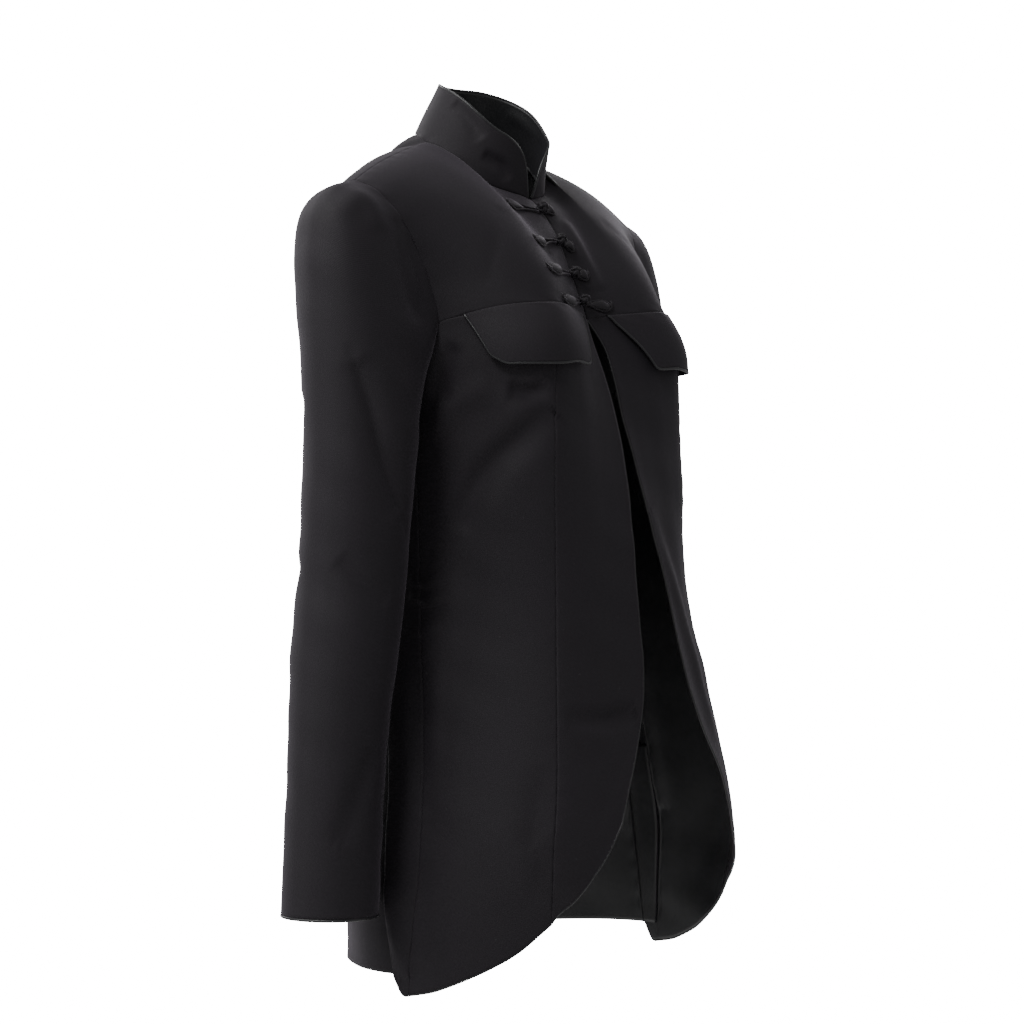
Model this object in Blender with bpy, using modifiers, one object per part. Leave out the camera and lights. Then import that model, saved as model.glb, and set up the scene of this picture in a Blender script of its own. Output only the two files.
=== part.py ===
"""A mandarin collar jacket of black wool crepe, in the hollow form that it keeps when it is worn.

Metres, +Z up, the front towards -Y and the wearer's left at +X. The origin is midway between the
two shoulder points. The left half is drawn from the tables below and the right half is its mirror
image, so each function works out a point of the left half.

A place on the body is (way, z). The way round counts seams: 0 is the front edge, 1 the princess
seam, 2 the side seam, 3 the vent seam, 4 the shoulder blade and 5 the centre back.
"""

import math
from collections import namedtuple

import bmesh
import bpy
from mathutils import Vector

# Cloth and trim
CLOTH = 0.0016
SEAM_GAP = 0.0004
PIPING = 0.0025
EDGE_PIPING = 0.0014
TUBE_RESOLUTION = 2

# Seams, as places on the way round the body
FRONT_EDGE, PRINCESS, SIDE, VENT, BLADE, CENTRE_BACK = range(6)
ARMHOLE_FRONT = 1.72
ARMHOLE_BACK = 3.36
ARMHOLE_BACK_Z = -0.100

# The body at each level, at its six places on the way round
Level = namedtuple(
    "Level",
    "z edge_x edge_y princess_x princess_y side_x side_y vent_x vent_y blade_x blade_y back_y",
)
LEVELS = [
    Level(-0.085, 0.0004, -0.0925, 0.0820, -0.1170, 0.1600, -0.012, 0.1620, 0.016, 0.112, 0.070, 0.086),
    Level(-0.105, 0.0004, -0.1000, 0.0860, -0.1240, 0.1580, -0.014, 0.1600, 0.014, 0.112, 0.070, 0.086),
    Level(-0.130, 0.0080, -0.1135, 0.0920, -0.1305, 0.1550, -0.018, 0.1565, 0.012, 0.108, 0.071, 0.085),
    Level(-0.175, 0.0055, -0.1290, 0.0940, -0.1325, 0.1505, -0.025, 0.1510, 0.008, 0.102, 0.068, 0.082),
    Level(-0.240, 0.0100, -0.1460, 0.0970, -0.1340, 0.1470, -0.031, 0.1475, 0.003, 0.096, 0.058, 0.072),
    Level(-0.335, 0.0245, -0.1655, 0.1007, -0.1370, 0.1485, -0.036, 0.1495, -0.003, 0.092, 0.046, 0.057),
    Level(-0.425, 0.0395, -0.1810, 0.1168, -0.1489, 0.1630, -0.048, 0.1665, -0.015, 0.102, 0.052, 0.065),
    Level(-0.490, 0.0725, -0.1890, 0.1295, -0.1578, 0.1735, -0.056, 0.1770, -0.025, 0.108, 0.057, 0.072),
    Level(-0.550, 0.0955, -0.1885, 0.1385, -0.1600, 0.1815, -0.060, 0.1860, -0.028, 0.112, 0.061, 0.077),
    Level(-0.600, 0.1030, -0.1810, 0.1330, -0.1545, 0.1855, -0.056, 0.1880, -0.034, 0.114, 0.063, 0.080),
    Level(-0.660, 0.1060, -0.1720, 0.1340, -0.1400, 0.1870, -0.053, 0.1885, -0.042, 0.115, 0.064, 0.082),
]

# Seam lines across the body: the place on the way round, then the height there
YOKE_SEAM = [(0.0, -0.105), (0.5, -0.100), (1.0, -0.0975), (1.4, -0.1025), (ARMHOLE_FRONT, -0.1146)]
ARMHOLE_LOW = [(ARMHOLE_FRONT, -0.1146), (1.82, -0.145), (2.0, -0.166), (2.5, -0.1745), (3.0, -0.166)]
ARMHOLE_RISE = [(3.0, -0.166), (3.20, -0.145), (3.31, -0.122), (ARMHOLE_BACK, ARMHOLE_BACK_Z)]
HEM = [
    (0.0, -0.518),
    (0.12, -0.5405),
    (0.3, -0.558),
    (0.6, -0.577),
    (1.0, -0.595),
    (1.2, -0.6165),
    (1.4, -0.631),
    (1.6, -0.6415),
    (1.8, -0.6495),
    (2.0, -0.6535),
    (2.7, -0.648),
    (3.0, -0.637),
]
BACK_HEM = -0.638
VENT_TOP = -0.470
VENT_UNDERLAP = 0.95
UNDERLAP_DEPTH = 0.0026

# Neck seam: angle from the centre front, then height
NECK_MIDDLE_Y = 0.011
NECK_HALF_WIDTH = 0.062
NECK_HALF_DEPTH = 0.053
NECK_HEIGHT = [(0, -0.002), (45, 0.0095), (90, 0.040), (135, 0.056), (180, 0.058)]
SHOULDER_ANGLE = 98
SHOULDER_TIP = Vector((0.188, 0.0, 0.0))
SHOULDER_SWELL = 0.006

# Ways in which the cloth comes up to the neck and over the shoulder seam; a longer one is fuller
FRONT_TO_NECK = Vector((0, 0.80, 0.60))
FRONT_TO_NECK_CORNER = Vector((0, 0.55, 0.12))
FRONT_TO_TIP = Vector((0, 1.0, 0.10))
BACK_TO_NAPE = Vector((0, -0.55, 0.83))
BACK_TO_NECK_CORNER = Vector((0, -1.25, -0.12))
BACK_TO_TIP = Vector((0, -1.2, -0.10))

# Collar
COLLAR_MIDDLE_Y = -0.004
COLLAR_HALF_WIDTH = 0.050
COLLAR_HALF_DEPTH = 0.047
COLLAR_HEIGHT = [(0, 0.040), (45, 0.0514), (90, 0.082), (135, 0.0975), (180, 0.099)]
COLLAR_START_ANGLE = 3
COLLAR_END_ANGLE = 18
COLLAR_CORNER = 0.024
COLLAR_SEAM_GAP = 0.0014

# Flaps, as places on the way round the body
FLAP_TOP_INNER = 0.25
FLAP_TOP_OUTER = 1.57
FLAP_FOOT_INNER = 0.50
FLAP_FOOT_OUTER = 1.39
FLAP_FOOT_Z = -0.1455
FLAP_LIFT_TOP = 0.0009
FLAP_LIFT_FOOT = 0.0022
FLAP_COLUMNS = 7
FLAP_ROWS = 3

# Frogs: height of each knot, and how far over the right yoke it and its cords' ends lie, as shares of
# the way across the yoke; the left cord starts at the front edge
Frog = namedtuple("Frog", "z knot right_start right_end left_end")
FROGS = [
    Frog(-0.0135, 0.024, 0.058, 0.36, 0.078),
    Frog(-0.0405, 0.026, 0.062, 0.42, 0.080),
    Frog(-0.0680, 0.028, 0.066, 0.46, 0.112),
    Frog(-0.0920, 0.034, 0.070, 0.41, 0.190),
]
FROG_KNOT = 0.0098
FROG_CORD = 0.0066
FROG_LEAF = (0.5, 0.55, 0.7, 0.9, 1.0, 0.65, 0.2)
LEFT_START = 0.018
FROG_STEPS = len(FROG_LEAF) - 1
FROG_RISE = 0.003

# Sleeve rings under the armhole: height, middle and radii across and from front to back
Ring = namedtuple("Ring", "z x y across deep")
SLEEVE_RINGS = [
    Ring(-0.210, 0.1990, -0.0145, 0.0455, 0.0470),
    Ring(-0.310, 0.2035, -0.0096, 0.0450, 0.0435),
    Ring(-0.370, 0.2120, -0.0095, 0.0430, 0.0430),
    Ring(-0.458, 0.2220, -0.0088, 0.0400, 0.0400),
    Ring(-0.538, 0.2290, -0.0090, 0.0388, 0.0388),
    Ring(-0.587, 0.2310, -0.0085, 0.0390, 0.0390),
]
CUFF_Z = SLEEVE_RINGS[-1].z
LEAVES_TIP = Vector((0.95, 0.0, -0.06))
LEAVES_UNDERARM = Vector((0.06, 0.0, -1.0))
LEAVES_TO_FRONT = 0.02
LEAVES_TO_BACK = 0.42
LEFT_ARM_BACK = 0.012
ENDS_OUTSIDE = 1.85

# The sleeve's two seams, as steps round the armhole loop and as turns of the rings below it
FORE_SEAM_STEP = 9
HIND_SEAM_STEP = 20
FORE_SEAM_TURN = 150
HIND_SEAM_TURN = 292
SLEEVE_SEAM_GAP = 0.0005
SLEEVE_SEAM_COLUMN = 0.1

# Rows and columns of the panels; the narrow ones at a seam keep the two cloths square to each other
FRONT_WAYS = [0.0, 0.12, 0.3, 0.6, 0.96, 1.0]
SIDE_FRONT_WAYS = [1.0, 1.03, 1.2, 1.4, 1.58, ARMHOLE_FRONT, 1.84, 2.0]
SIDE_WAYS = [2.0, 2.4, 2.75, 2.93, 3.0]
BODY_ROWS = 16
CENTRE_FRONT_GAP = 0.0012
YOKE_SHARES = [k / 16 for k in range(9)] + [0.625, 0.75, 0.875, 0.98, 1.0]
YOKE_UPS = [0, 1 / 6, 1 / 3, 1 / 2, 2 / 3, 5 / 6, 0.975, 1]
BACK_SHARES = [k / 12 for k in range(7)] + [0.625, 0.75, 0.875, 0.985, 1.0]
SLEEVE_HEAD_ROWS = 6
SLEEVE_ROWS = 7
COLLAR_ROWS = 4
COLLAR_CORNER_ANGLES = [3, 5, 7.5, 10]

# Finishes: colour, roughness
Finish = namedtuple("Finish", "name colour roughness")
WOOL = Finish("wool_crepe", (0.012, 0.012, 0.014, 1.0), 0.85)
SATIN = Finish("satin", (0.018, 0.018, 0.020, 1.0), 0.38)


def smooth(table, at):
    """The value at a place of the smooth curve through a table of (place, value)."""
    places = [row[0] for row in table]
    last = len(table) - 2
    i = min(max(sum(place <= at for place in places) - 1, 0), last)

    def slope(k):
        if k in (0, last + 1):
            a, b = (0, 1) if k == 0 else (last, last + 1)
            return (table[b][1] - table[a][1]) / (places[b] - places[a])
        before = places[k] - places[k - 1]
        after = places[k + 1] - places[k]
        rise_before = (table[k][1] - table[k - 1][1]) / before
        rise_after = (table[k + 1][1] - table[k][1]) / after
        return (rise_before * after + rise_after * before) / (before + after)

    span = places[i + 1] - places[i]
    t = (at - places[i]) / span
    start = table[i][1] * (2 * t**3 - 3 * t**2 + 1) + slope(i) * (span * (t**3 - 2 * t**2 + t))
    end = table[i + 1][1] * (3 * t**2 - 2 * t**3) + slope(i + 1) * (span * (t**3 - t**2))
    return start + end


def bend(start, start_way, end, end_way, t):
    """A point of the curve that leaves the start one way and comes to the end another way."""
    reach = (end - start).length
    return (
        start * (2 * t**3 - 3 * t**2 + 1)
        + start_way * (reach * (t**3 - 2 * t**2 + t))
        + end * (3 * t**2 - 2 * t**3)
        + end_way * (reach * (t**3 - t**2))
    )


def ease(t):
    """Goes from 0 to 1 softly."""
    t = min(max(t, 0.0), 1.0)
    return t * t * (3 - 2 * t)


def seam_places(z):
    """The six seam places at one level, and the mirror image of the shoulder blade after them."""
    def at(column):
        return smooth([(level.z, getattr(level, column)) for level in reversed(LEVELS)], z)

    names = ("edge", "princess", "side", "vent", "blade")
    places = [Vector((at(f"{name}_x"), at(f"{name}_y"), z)) for name in names]
    places.append(Vector((0, at("back_y"), z)))
    places.append(Vector((-places[BLADE].x, places[BLADE].y, z)))
    return places


def body(way, z):
    """A point of the body's outer face."""
    places = seam_places(z)
    walked = [0.0]
    for before, after in zip(places, places[1:]):
        walked.append(walked[-1] + (after - before).length)
    i = min(int(way), CENTRE_BACK)
    at = walked[i] + (way - i) * (walked[i + 1] - walked[i])
    return smooth(list(zip(walked, places)), at)


def body_up(way, z):
    return (body(way, z + 0.002) - body(way, z - 0.002)).normalized()


def body_out(way, z):
    """The way out of the cloth at a point of the body."""
    along = body(way + 0.02, z) - body(way - 0.02, z)
    return along.cross(body_up(way, z)).normalized()


def neck_seam(angle):
    turn = math.radians(angle)
    return Vector(
        (
            NECK_HALF_WIDTH * math.sin(turn),
            NECK_MIDDLE_Y - NECK_HALF_DEPTH * math.cos(turn),
            smooth(NECK_HEIGHT, angle),
        )
    )


def top_line(share, from_angle):
    """The neck seam over the first half of the share, then the shoulder seam to its tip."""
    if share <= 0.5:
        return neck_seam(from_angle + (SHOULDER_ANGLE - from_angle) * share * 2)
    along = share * 2 - 1
    swell = Vector((0, 0, SHOULDER_SWELL * 4 * along * (1 - along)))
    return neck_seam(SHOULDER_ANGLE).lerp(SHOULDER_TIP, along) + swell


def yoke(across, up):
    """A point of the front yoke, from the centre front to the armhole and from its seam to the shoulder."""
    way = ARMHOLE_FRONT * across
    foot_z = smooth(YOKE_SEAM, way)
    leave = body_up(way, foot_z)
    leave.x *= min(across * 4, 1)
    to_top = smooth([(0, FRONT_TO_NECK), (0.5, FRONT_TO_NECK_CORNER), (1, FRONT_TO_TIP)], across)
    return bend(body(way, foot_z), leave, top_line(across, 0), to_top, up)


def upper_back(across, up):
    """A point of the back above the blades, from the centre back to the armhole."""
    way = CENTRE_BACK + (ARMHOLE_BACK - CENTRE_BACK) * across
    foot = body(way, ARMHOLE_BACK_Z)
    to_top = smooth([(0, BACK_TO_NAPE), (0.5, BACK_TO_NECK_CORNER), (1, BACK_TO_TIP)], across)
    return bend(foot, body_up(way, ARMHOLE_BACK_Z), top_line(across, 180), to_top, up)


def armhole_way(z):
    """Where the back edge of the armhole crosses a level."""
    return smooth([(height, way) for way, height in ARMHOLE_RISE], z)


def back_heights():
    """Heights of the back's rows under the shoulder blades, from the hem up."""
    low = [BACK_HEM + (VENT_TOP - 0.006 - BACK_HEM) * k / 6 for k in range(7)]
    top = ARMHOLE_RISE[0][1]
    middle = [VENT_TOP + (top - VENT_TOP) * k / 10 for k in range(11)]
    return low + middle + [height for way, height in ARMHOLE_RISE[1:]]


def back(across, z):
    """A point of the back under the blades; under the vent's top it laps under the side panel."""
    if z >= ARMHOLE_RISE[0][1]:
        edge = armhole_way(z)
    elif z >= VENT_TOP:
        edge = VENT
    else:
        edge = VENT - VENT_UNDERLAP
    way = CENTRE_BACK + (edge - CENTRE_BACK) * across
    tucked = ease((BLADE - 0.25 - way) / 0.6) * ease((VENT_TOP + 0.04 - z) / 0.035)
    return body(way, z) - body_out(way, z) * UNDERLAP_DEPTH * tucked


def down_body(way, top, row):
    """A point of the body in rows from the hem to the top seam."""
    hem = smooth(HEM, way)
    return body(way, hem + (top(way) - hem) * row)


def grid_points(rows, gaps):
    """Rows of points from the bottom up, each edge drawn in by the gap given for it."""
    bottom, top, start, end = gaps
    drawn = [[point.copy() for point in row] for row in rows]
    for k in range(len(rows[0])):
        drawn[0][k] += (rows[1][k] - rows[0][k]).normalized() * bottom
        drawn[-1][k] += (rows[-2][k] - rows[-1][k]).normalized() * top
    for k, row in enumerate(rows):
        drawn[k][0] += (row[1] - row[0]).normalized() * start
        drawn[k][-1] += (row[-2] - row[-1]).normalized() * end
    return drawn


def mirrored(point, side):
    return Vector((point.x * side, point.y, point.z))


def add_finish(obj, finish):
    material = bpy.data.materials.new(f"{obj.name}_{finish.name}")
    material.use_nodes = True
    shader = material.node_tree.nodes["Principled BSDF"]
    shader.inputs["Base Color"].default_value = finish.colour
    shader.inputs["Roughness"].default_value = finish.roughness
    material.diffuse_color = finish.colour
    obj.data.materials.append(material)


def add_panel(name, rows, side, finish=WOOL):
    """A cut piece of cloth: a flat grid brought to its points, then given its thickness inwards."""
    columns = len(rows[0])
    shape = bmesh.new()
    bmesh.ops.create_grid(shape, x_segments=columns - 1, y_segments=len(rows) - 1, size=1)
    for vertex in shape.verts:
        column = round((vertex.co.x + 1) / 2 * (columns - 1))
        row = round((vertex.co.y + 1) / 2 * (len(rows) - 1))
        vertex.co = mirrored(rows[row][column], side)
    if side < 0:
        bmesh.ops.reverse_faces(shape, faces=shape.faces)
    mesh = bpy.data.meshes.new(name)
    shape.to_mesh(mesh)
    shape.free()
    mesh.shade_smooth()
    obj = bpy.data.objects.new(name, mesh)
    JACKET.objects.link(obj)
    thickness = obj.modifiers.new("Cloth", "SOLIDIFY")
    thickness.thickness = CLOTH
    thickness.offset = -1
    thickness.use_even_offset = True
    add_finish(obj, finish)
    return obj


def add_tube(name, points, diameter, side=1, closed=False, widths=None, finish=SATIN):
    """A round cord of satin along its points, as wide at each as its share of the diameter."""
    curve = bpy.data.curves.new(name, "CURVE")
    curve.dimensions = "3D"
    curve.bevel_depth = diameter / 2
    curve.bevel_resolution = TUBE_RESOLUTION
    curve.use_fill_caps = not closed
    line = curve.splines.new("POLY")
    line.points.add(len(points) - 1)
    line.use_cyclic_u = closed
    line.use_smooth = True
    for k, point in enumerate(points):
        line.points[k].co = (*mirrored(point, side), 1)
        line.points[k].radius = widths[k] if widths else 1
    obj = bpy.data.objects.new(name, curve)
    JACKET.objects.link(obj)
    add_finish(obj, finish)
    return obj


def add_front(name, side):
    rows = [
        [down_body(way, lambda way: smooth(YOKE_SEAM, way), k / BODY_ROWS) for way in FRONT_WAYS]
        for k in range(BODY_ROWS + 1)
    ]
    add_panel(f"centre_front_{name}", grid_points(rows, (0, SEAM_GAP / 2, 0, SEAM_GAP / 2)), side)


def side_front_top(way):
    return smooth(YOKE_SEAM, way) if way <= ARMHOLE_FRONT else smooth(ARMHOLE_LOW, way)


def add_side_front(name, side):
    rows = [
        [down_body(way, side_front_top, k / BODY_ROWS) for way in SIDE_FRONT_WAYS]
        for k in range(BODY_ROWS + 1)
    ]
    half = SEAM_GAP / 2
    add_panel(f"side_front_{name}", grid_points(rows, (0, half, half, half)), side)


def add_side_panel(name, side):
    rows = [
        [down_body(way, lambda way: smooth(ARMHOLE_LOW, way), k / BODY_ROWS) for way in SIDE_WAYS]
        for k in range(BODY_ROWS + 1)
    ]
    half = SEAM_GAP / 2
    add_panel(f"side_panel_{name}", grid_points(rows, (0, half, half, half)), side)


def add_back(name, side):
    rows = [[back(share, z) for share in reversed(BACK_SHARES)] for z in back_heights()]
    for up in YOKE_UPS[1:]:
        rows.append([upper_back(share, up) for share in reversed(BACK_SHARES)])
    half = SEAM_GAP / 2
    add_panel(f"back_{name}", grid_points(rows, (0, half, half, half)), side)


def add_yoke(name, side):
    rows = [[yoke(share, up) for share in YOKE_SHARES] for up in YOKE_UPS]
    half = SEAM_GAP / 2
    add_panel(f"front_yoke_{name}", grid_points(rows, (half, half, CENTRE_FRONT_GAP / 2, half)), side)


def armhole_loop():
    """Points round the armhole and the way out of the body at each, from the tip by the front."""
    loop = []

    def add_upper(surface, ups):
        for up in ups:
            edge = surface(1, up)
            along = edge - surface(0.97, up)
            rise = surface(1, min(up + 0.03, 1)) - surface(1, up - 0.03 if up > 0.03 else 0)
            loop.append((edge, along.cross(rise).normalized()))

    add_upper(yoke, YOKE_UPS[::-1])
    for way in SIDE_FRONT_WAYS[-2:] + SIDE_WAYS[1:]:
        z = smooth(ARMHOLE_LOW, way)
        loop.append((body(way, z), body_out(way, z)))
    for way, z in ARMHOLE_RISE[1:]:
        loop.append((body(way, z), body_out(way, z)))
    count = len(loop)
    add_upper(upper_back, YOKE_UPS[1:-1])
    return loop[:count] + [(point, -out) for point, out in loop[count:]]


def sleeve_ring(z, turn, side):
    """A point of the sleeve below the armhole; the turn counts from the outer side by the front."""
    def at(column):
        return smooth([(ring.z, getattr(ring, column)) for ring in reversed(SLEEVE_RINGS)], z)

    back = LEFT_ARM_BACK if side > 0 else 0
    middle = Vector((at("x"), at("y") + back, z))
    return middle + Vector((at("across") * math.cos(turn), -at("deep") * math.sin(turn), 0))


def on_loop(loop, step):
    """A place on the armhole loop between two of its points, and the way out there."""
    before, after = loop[math.floor(step) % len(loop)], loop[(math.floor(step) + 1) % len(loop)]
    share = step - math.floor(step)
    return before[0].lerp(after[0], share), before[1].lerp(after[1], share).normalized()


def sleeve_rows(steps, turns, side):
    """Rows of the sleeve from the cuff up, for armhole steps and the ring's turns that they run to."""
    loop = armhole_loop()
    first = SLEEVE_RINGS[0].z
    rows = []
    for k in range(SLEEVE_ROWS, 0, -1):
        z = first + (CUFF_Z - first) * k / SLEEVE_ROWS
        rows.append([sleeve_ring(z, turn, side) for turn in turns])
    for k in range(SLEEVE_HEAD_ROWS, -1, -1):
        row = []
        for step, turn in zip(steps, turns):
            edge, out = on_loop(loop, step)
            start = edge + out * SEAM_GAP
            share = (1 + math.cos(2 * math.pi * step / len(loop))) / 2
            aside = math.sin(turn)
            leave = LEAVES_UNDERARM.lerp(LEAVES_TIP, share)
            leave = leave - Vector((0, aside * (LEAVES_TO_FRONT if aside > 0 else LEAVES_TO_BACK), 0))
            arrive = Vector((0, 0, -1 - (ENDS_OUTSIDE - 1) * share))
            end = sleeve_ring(first, turn, side)
            row.append(bend(start, leave, end, arrive, k / SLEEVE_HEAD_ROWS))
        rows.append(row)
    return rows


def add_sleeve(name, side):
    count = len(armhole_loop())
    half = SEAM_GAP / 2
    for piece, first, last, start, end in (
        ("upper_sleeve", HIND_SEAM_STEP - count, FORE_SEAM_STEP, HIND_SEAM_TURN - 360, FORE_SEAM_TURN),
        ("under_sleeve", FORE_SEAM_STEP, HIND_SEAM_STEP, FORE_SEAM_TURN, HIND_SEAM_TURN),
    ):
        steps = [first, first + SLEEVE_SEAM_COLUMN, *range(first + 1, last), last - SLEEVE_SEAM_COLUMN, last]
        turns = [math.radians(start + (end - start) * (step - first) / (last - first)) for step in steps]
        rows = [row[::-1] for row in sleeve_rows(steps, turns, side)]
        add_panel(f"{piece}_{name}", grid_points(rows, (0, half, SLEEVE_SEAM_GAP, SLEEVE_SEAM_GAP)), side)


def add_cuff_piping(name, side):
    z = CUFF_Z - PIPING / 2 - SEAM_GAP
    ring = [sleeve_ring(CUFF_Z, math.radians(15 * k), side) for k in range(24)]
    middle = sum(ring, Vector()) / len(ring)
    points = []
    for point in ring:
        inward = (middle - point).normalized()
        points.append(Vector((point.x, point.y, z)) + inward * CLOTH / 2)
    add_tube(f"cuff_piping_{name}", points, PIPING, side, closed=True)


def collar_top(angle):
    turn = math.radians(angle)
    return Vector(
        (
            COLLAR_HALF_WIDTH * math.sin(turn),
            COLLAR_MIDDLE_Y - COLLAR_HALF_DEPTH * math.cos(turn),
            smooth(COLLAR_HEIGHT, angle),
        )
    )


def collar(angle, up):
    """A point of the collar's left half at an angle of the neck seam, as high as its corner lets."""
    share = (angle - COLLAR_START_ANGLE) / (180 - COLLAR_START_ANGLE)
    base = neck_seam(angle)
    top = collar_top(COLLAR_END_ANGLE + (180 - COLLAR_END_ANGLE) * share)
    from_end = math.radians(angle - COLLAR_START_ANGLE) * NECK_HALF_DEPTH / COLLAR_CORNER
    height = (top - base).length
    if from_end < 1:
        height += COLLAR_CORNER * (math.sqrt(1 - (1 - from_end) ** 2) - 1)
    return base + (top - base).normalized() * height * up


def collar_angles():
    """The collar's columns: at its corner, then where the yoke and the back have theirs."""
    front = [SHOULDER_ANGLE * share * 2 for share in YOKE_SHARES if 0 < share <= 0.5]
    back = [180 + (SHOULDER_ANGLE - 180) * share * 2 for share in reversed(BACK_SHARES) if share < 0.5]
    return COLLAR_CORNER_ANGLES + front + back


def add_collar():
    rows = []
    for k in range(COLLAR_ROWS + 1):
        left = [collar(angle, k / COLLAR_ROWS) for angle in collar_angles()]
        rows.append(left + [mirrored(point, -1) for point in reversed(left[:-1])])
    add_panel("collar", grid_points(rows, (COLLAR_SEAM_GAP, 0, 0, 0)), 1)


def edge_cord(edge, outs, diameter):
    """Points of a cord that lies along an edge of cloth, just past it and halfway through its thickness."""
    points = []
    for k, (here, out) in enumerate(zip(edge, outs)):
        run = edge[min(k + 1, len(edge) - 1)] - edge[max(k - 1, 0)]
        past = out.cross(run).normalized()
        points.append(here + past * (diameter / 2 + SEAM_GAP) - out * CLOTH / 2)
    return points


def add_collar_piping():
    edge = [collar(COLLAR_START_ANGLE, up / 4) for up in range(1, 4)]
    edge += [collar(angle, 1) for angle in collar_angles()]
    outs = [Vector((point.x, point.y - COLLAR_MIDDLE_Y, 0)).normalized() for point in edge]
    left = edge_cord(edge, outs, PIPING)
    whole = left + [mirrored(point, -1) for point in reversed(left[:-1])]
    add_tube("collar_piping", whole, PIPING)


def flap_place(along, down):
    """The place on the body of a point of the flap, from its top inner corner to its outer one and down."""
    top = FLAP_TOP_INNER + (FLAP_TOP_OUTER - FLAP_TOP_INNER) * along
    foot = FLAP_FOOT_INNER + (FLAP_FOOT_OUTER - FLAP_FOOT_INNER) * along
    way = top + (foot - top) * down
    top_z = smooth(YOKE_SEAM, top) - SEAM_GAP
    return way, top_z + (FLAP_FOOT_Z - top_z) * down


def flap(along, down):
    """A point of the flap's outer face, lifted off the front that it lies on."""
    way, z = flap_place(along, down)
    lift = CLOTH + FLAP_LIFT_TOP + (FLAP_LIFT_FOOT - FLAP_LIFT_TOP) * down
    return body(way, z) + body_out(way, z) * lift


def add_flap(name, side):
    rows = [
        [flap(k / FLAP_COLUMNS, 1 - row / FLAP_ROWS) for k in range(FLAP_COLUMNS + 1)]
        for row in range(FLAP_ROWS + 1)
    ]
    add_panel(f"flap_{name}", rows, side)
    edge = [(0, k / FLAP_ROWS) for k in range(FLAP_ROWS)]
    edge += [(k / FLAP_COLUMNS, 1) for k in range(FLAP_COLUMNS + 1)]
    edge += [(1, 1 - k / FLAP_ROWS) for k in range(1, FLAP_ROWS + 1)]
    points = []
    for along, down in edge:
        point = flap(along, down)
        across = (flap(along + 0.02, down) - flap(along - 0.02, down)).normalized()
        fall = (flap(along, down + 0.02) - flap(along, down - 0.02)).normalized()
        if along in (0, 1):
            point += across * (PIPING / 2 + SEAM_GAP) * (2 * along - 1)
        if down == 1:
            point += fall * (PIPING / 2 + SEAM_GAP)
        points.append(point - across.cross(-fall).normalized() * CLOTH / 2)
    add_tube(f"flap_piping_{name}", points, PIPING, side)


def add_edge_piping(name, side):
    """A fine cord down the front edge, round the cutaway and along the hem to the vent."""
    top, foot = smooth(YOKE_SEAM, 0), HEM[0][1]
    places = [(0.0, foot + (top - foot) * k / BODY_ROWS) for k in range(BODY_ROWS - 1, 0, -1)]
    ways = FRONT_WAYS + SIDE_FRONT_WAYS[1:] + SIDE_WAYS[1:]
    places += [(way, smooth(HEM, way)) for way in ways]
    edge = [body(way, z) for way, z in reversed(places)]
    outs = [body_out(way, z) for way, z in reversed(places)]
    points = edge_cord(edge, outs, EDGE_PIPING)
    add_tube(f"edge_piping_{name}", points, EDGE_PIPING, side)


def on_yoke(across, z, lift):
    """A point of the front yoke at a height, lifted off its outer face."""
    low, high = 0.0, 1.0
    for _ in range(20):
        up = (low + high) / 2
        if yoke(across, up).z < z:
            low = up
        else:
            high = up
    along = yoke(across + 0.01, up) - yoke(across - 0.01, up)
    rise = yoke(across, up + 0.01) - yoke(across, up - 0.01)
    return yoke(across, up) + along.cross(rise).normalized() * lift


def add_frog(number, frog):
    """A knotted button at the centre front, with a leaf of satin cord to each side of it."""
    knot = mirrored(on_yoke(frog.knot, frog.z, FROG_KNOT / 2 + SEAM_GAP / 2), -1)
    shape = bmesh.new()
    bmesh.ops.create_uvsphere(shape, u_segments=12, v_segments=8, radius=FROG_KNOT / 2)
    mesh = bpy.data.meshes.new(f"frog_{number}_knot")
    shape.to_mesh(mesh)
    shape.free()
    mesh.shade_smooth()
    obj = bpy.data.objects.new(f"frog_{number}_knot", mesh)
    obj.location = knot
    JACKET.objects.link(obj)
    add_finish(obj, SATIN)
    cords = (("left", 1, LEFT_START, frog.left_end), ("right", -1, frog.right_start, frog.right_end))
    for name, side, start, end in cords:
        points = []
        for k, width in enumerate(FROG_LEAF):
            share = k / FROG_STEPS
            across = start + (end - start) * share
            lift = FROG_CORD * width / 2 + SEAM_GAP
            points.append(on_yoke(across, frog.z + FROG_RISE * share, lift))
        add_tube(f"frog_{number}_tail_{name}", points, FROG_CORD, side, widths=FROG_LEAF)


def clear_scene():
    for obj in list(bpy.data.objects):
        bpy.data.objects.remove(obj)


clear_scene()
JACKET = bpy.data.collections.new("mandarin_collar_jacket")
bpy.context.scene.collection.children.link(JACKET)
add_collar()
add_collar_piping()
for side_name, side_sign in (("left", 1), ("right", -1)):
    add_yoke(side_name, side_sign)
    add_front(side_name, side_sign)
    add_side_front(side_name, side_sign)
    add_side_panel(side_name, side_sign)
    add_back(side_name, side_sign)
    add_sleeve(side_name, side_sign)
    add_cuff_piping(side_name, side_sign)
    add_flap(side_name, side_sign)
    add_edge_piping(side_name, side_sign)
for frog_number, frog in enumerate(FROGS, 1):
    add_frog(frog_number, frog)
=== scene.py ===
import math
import random
from collections import namedtuple

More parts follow.
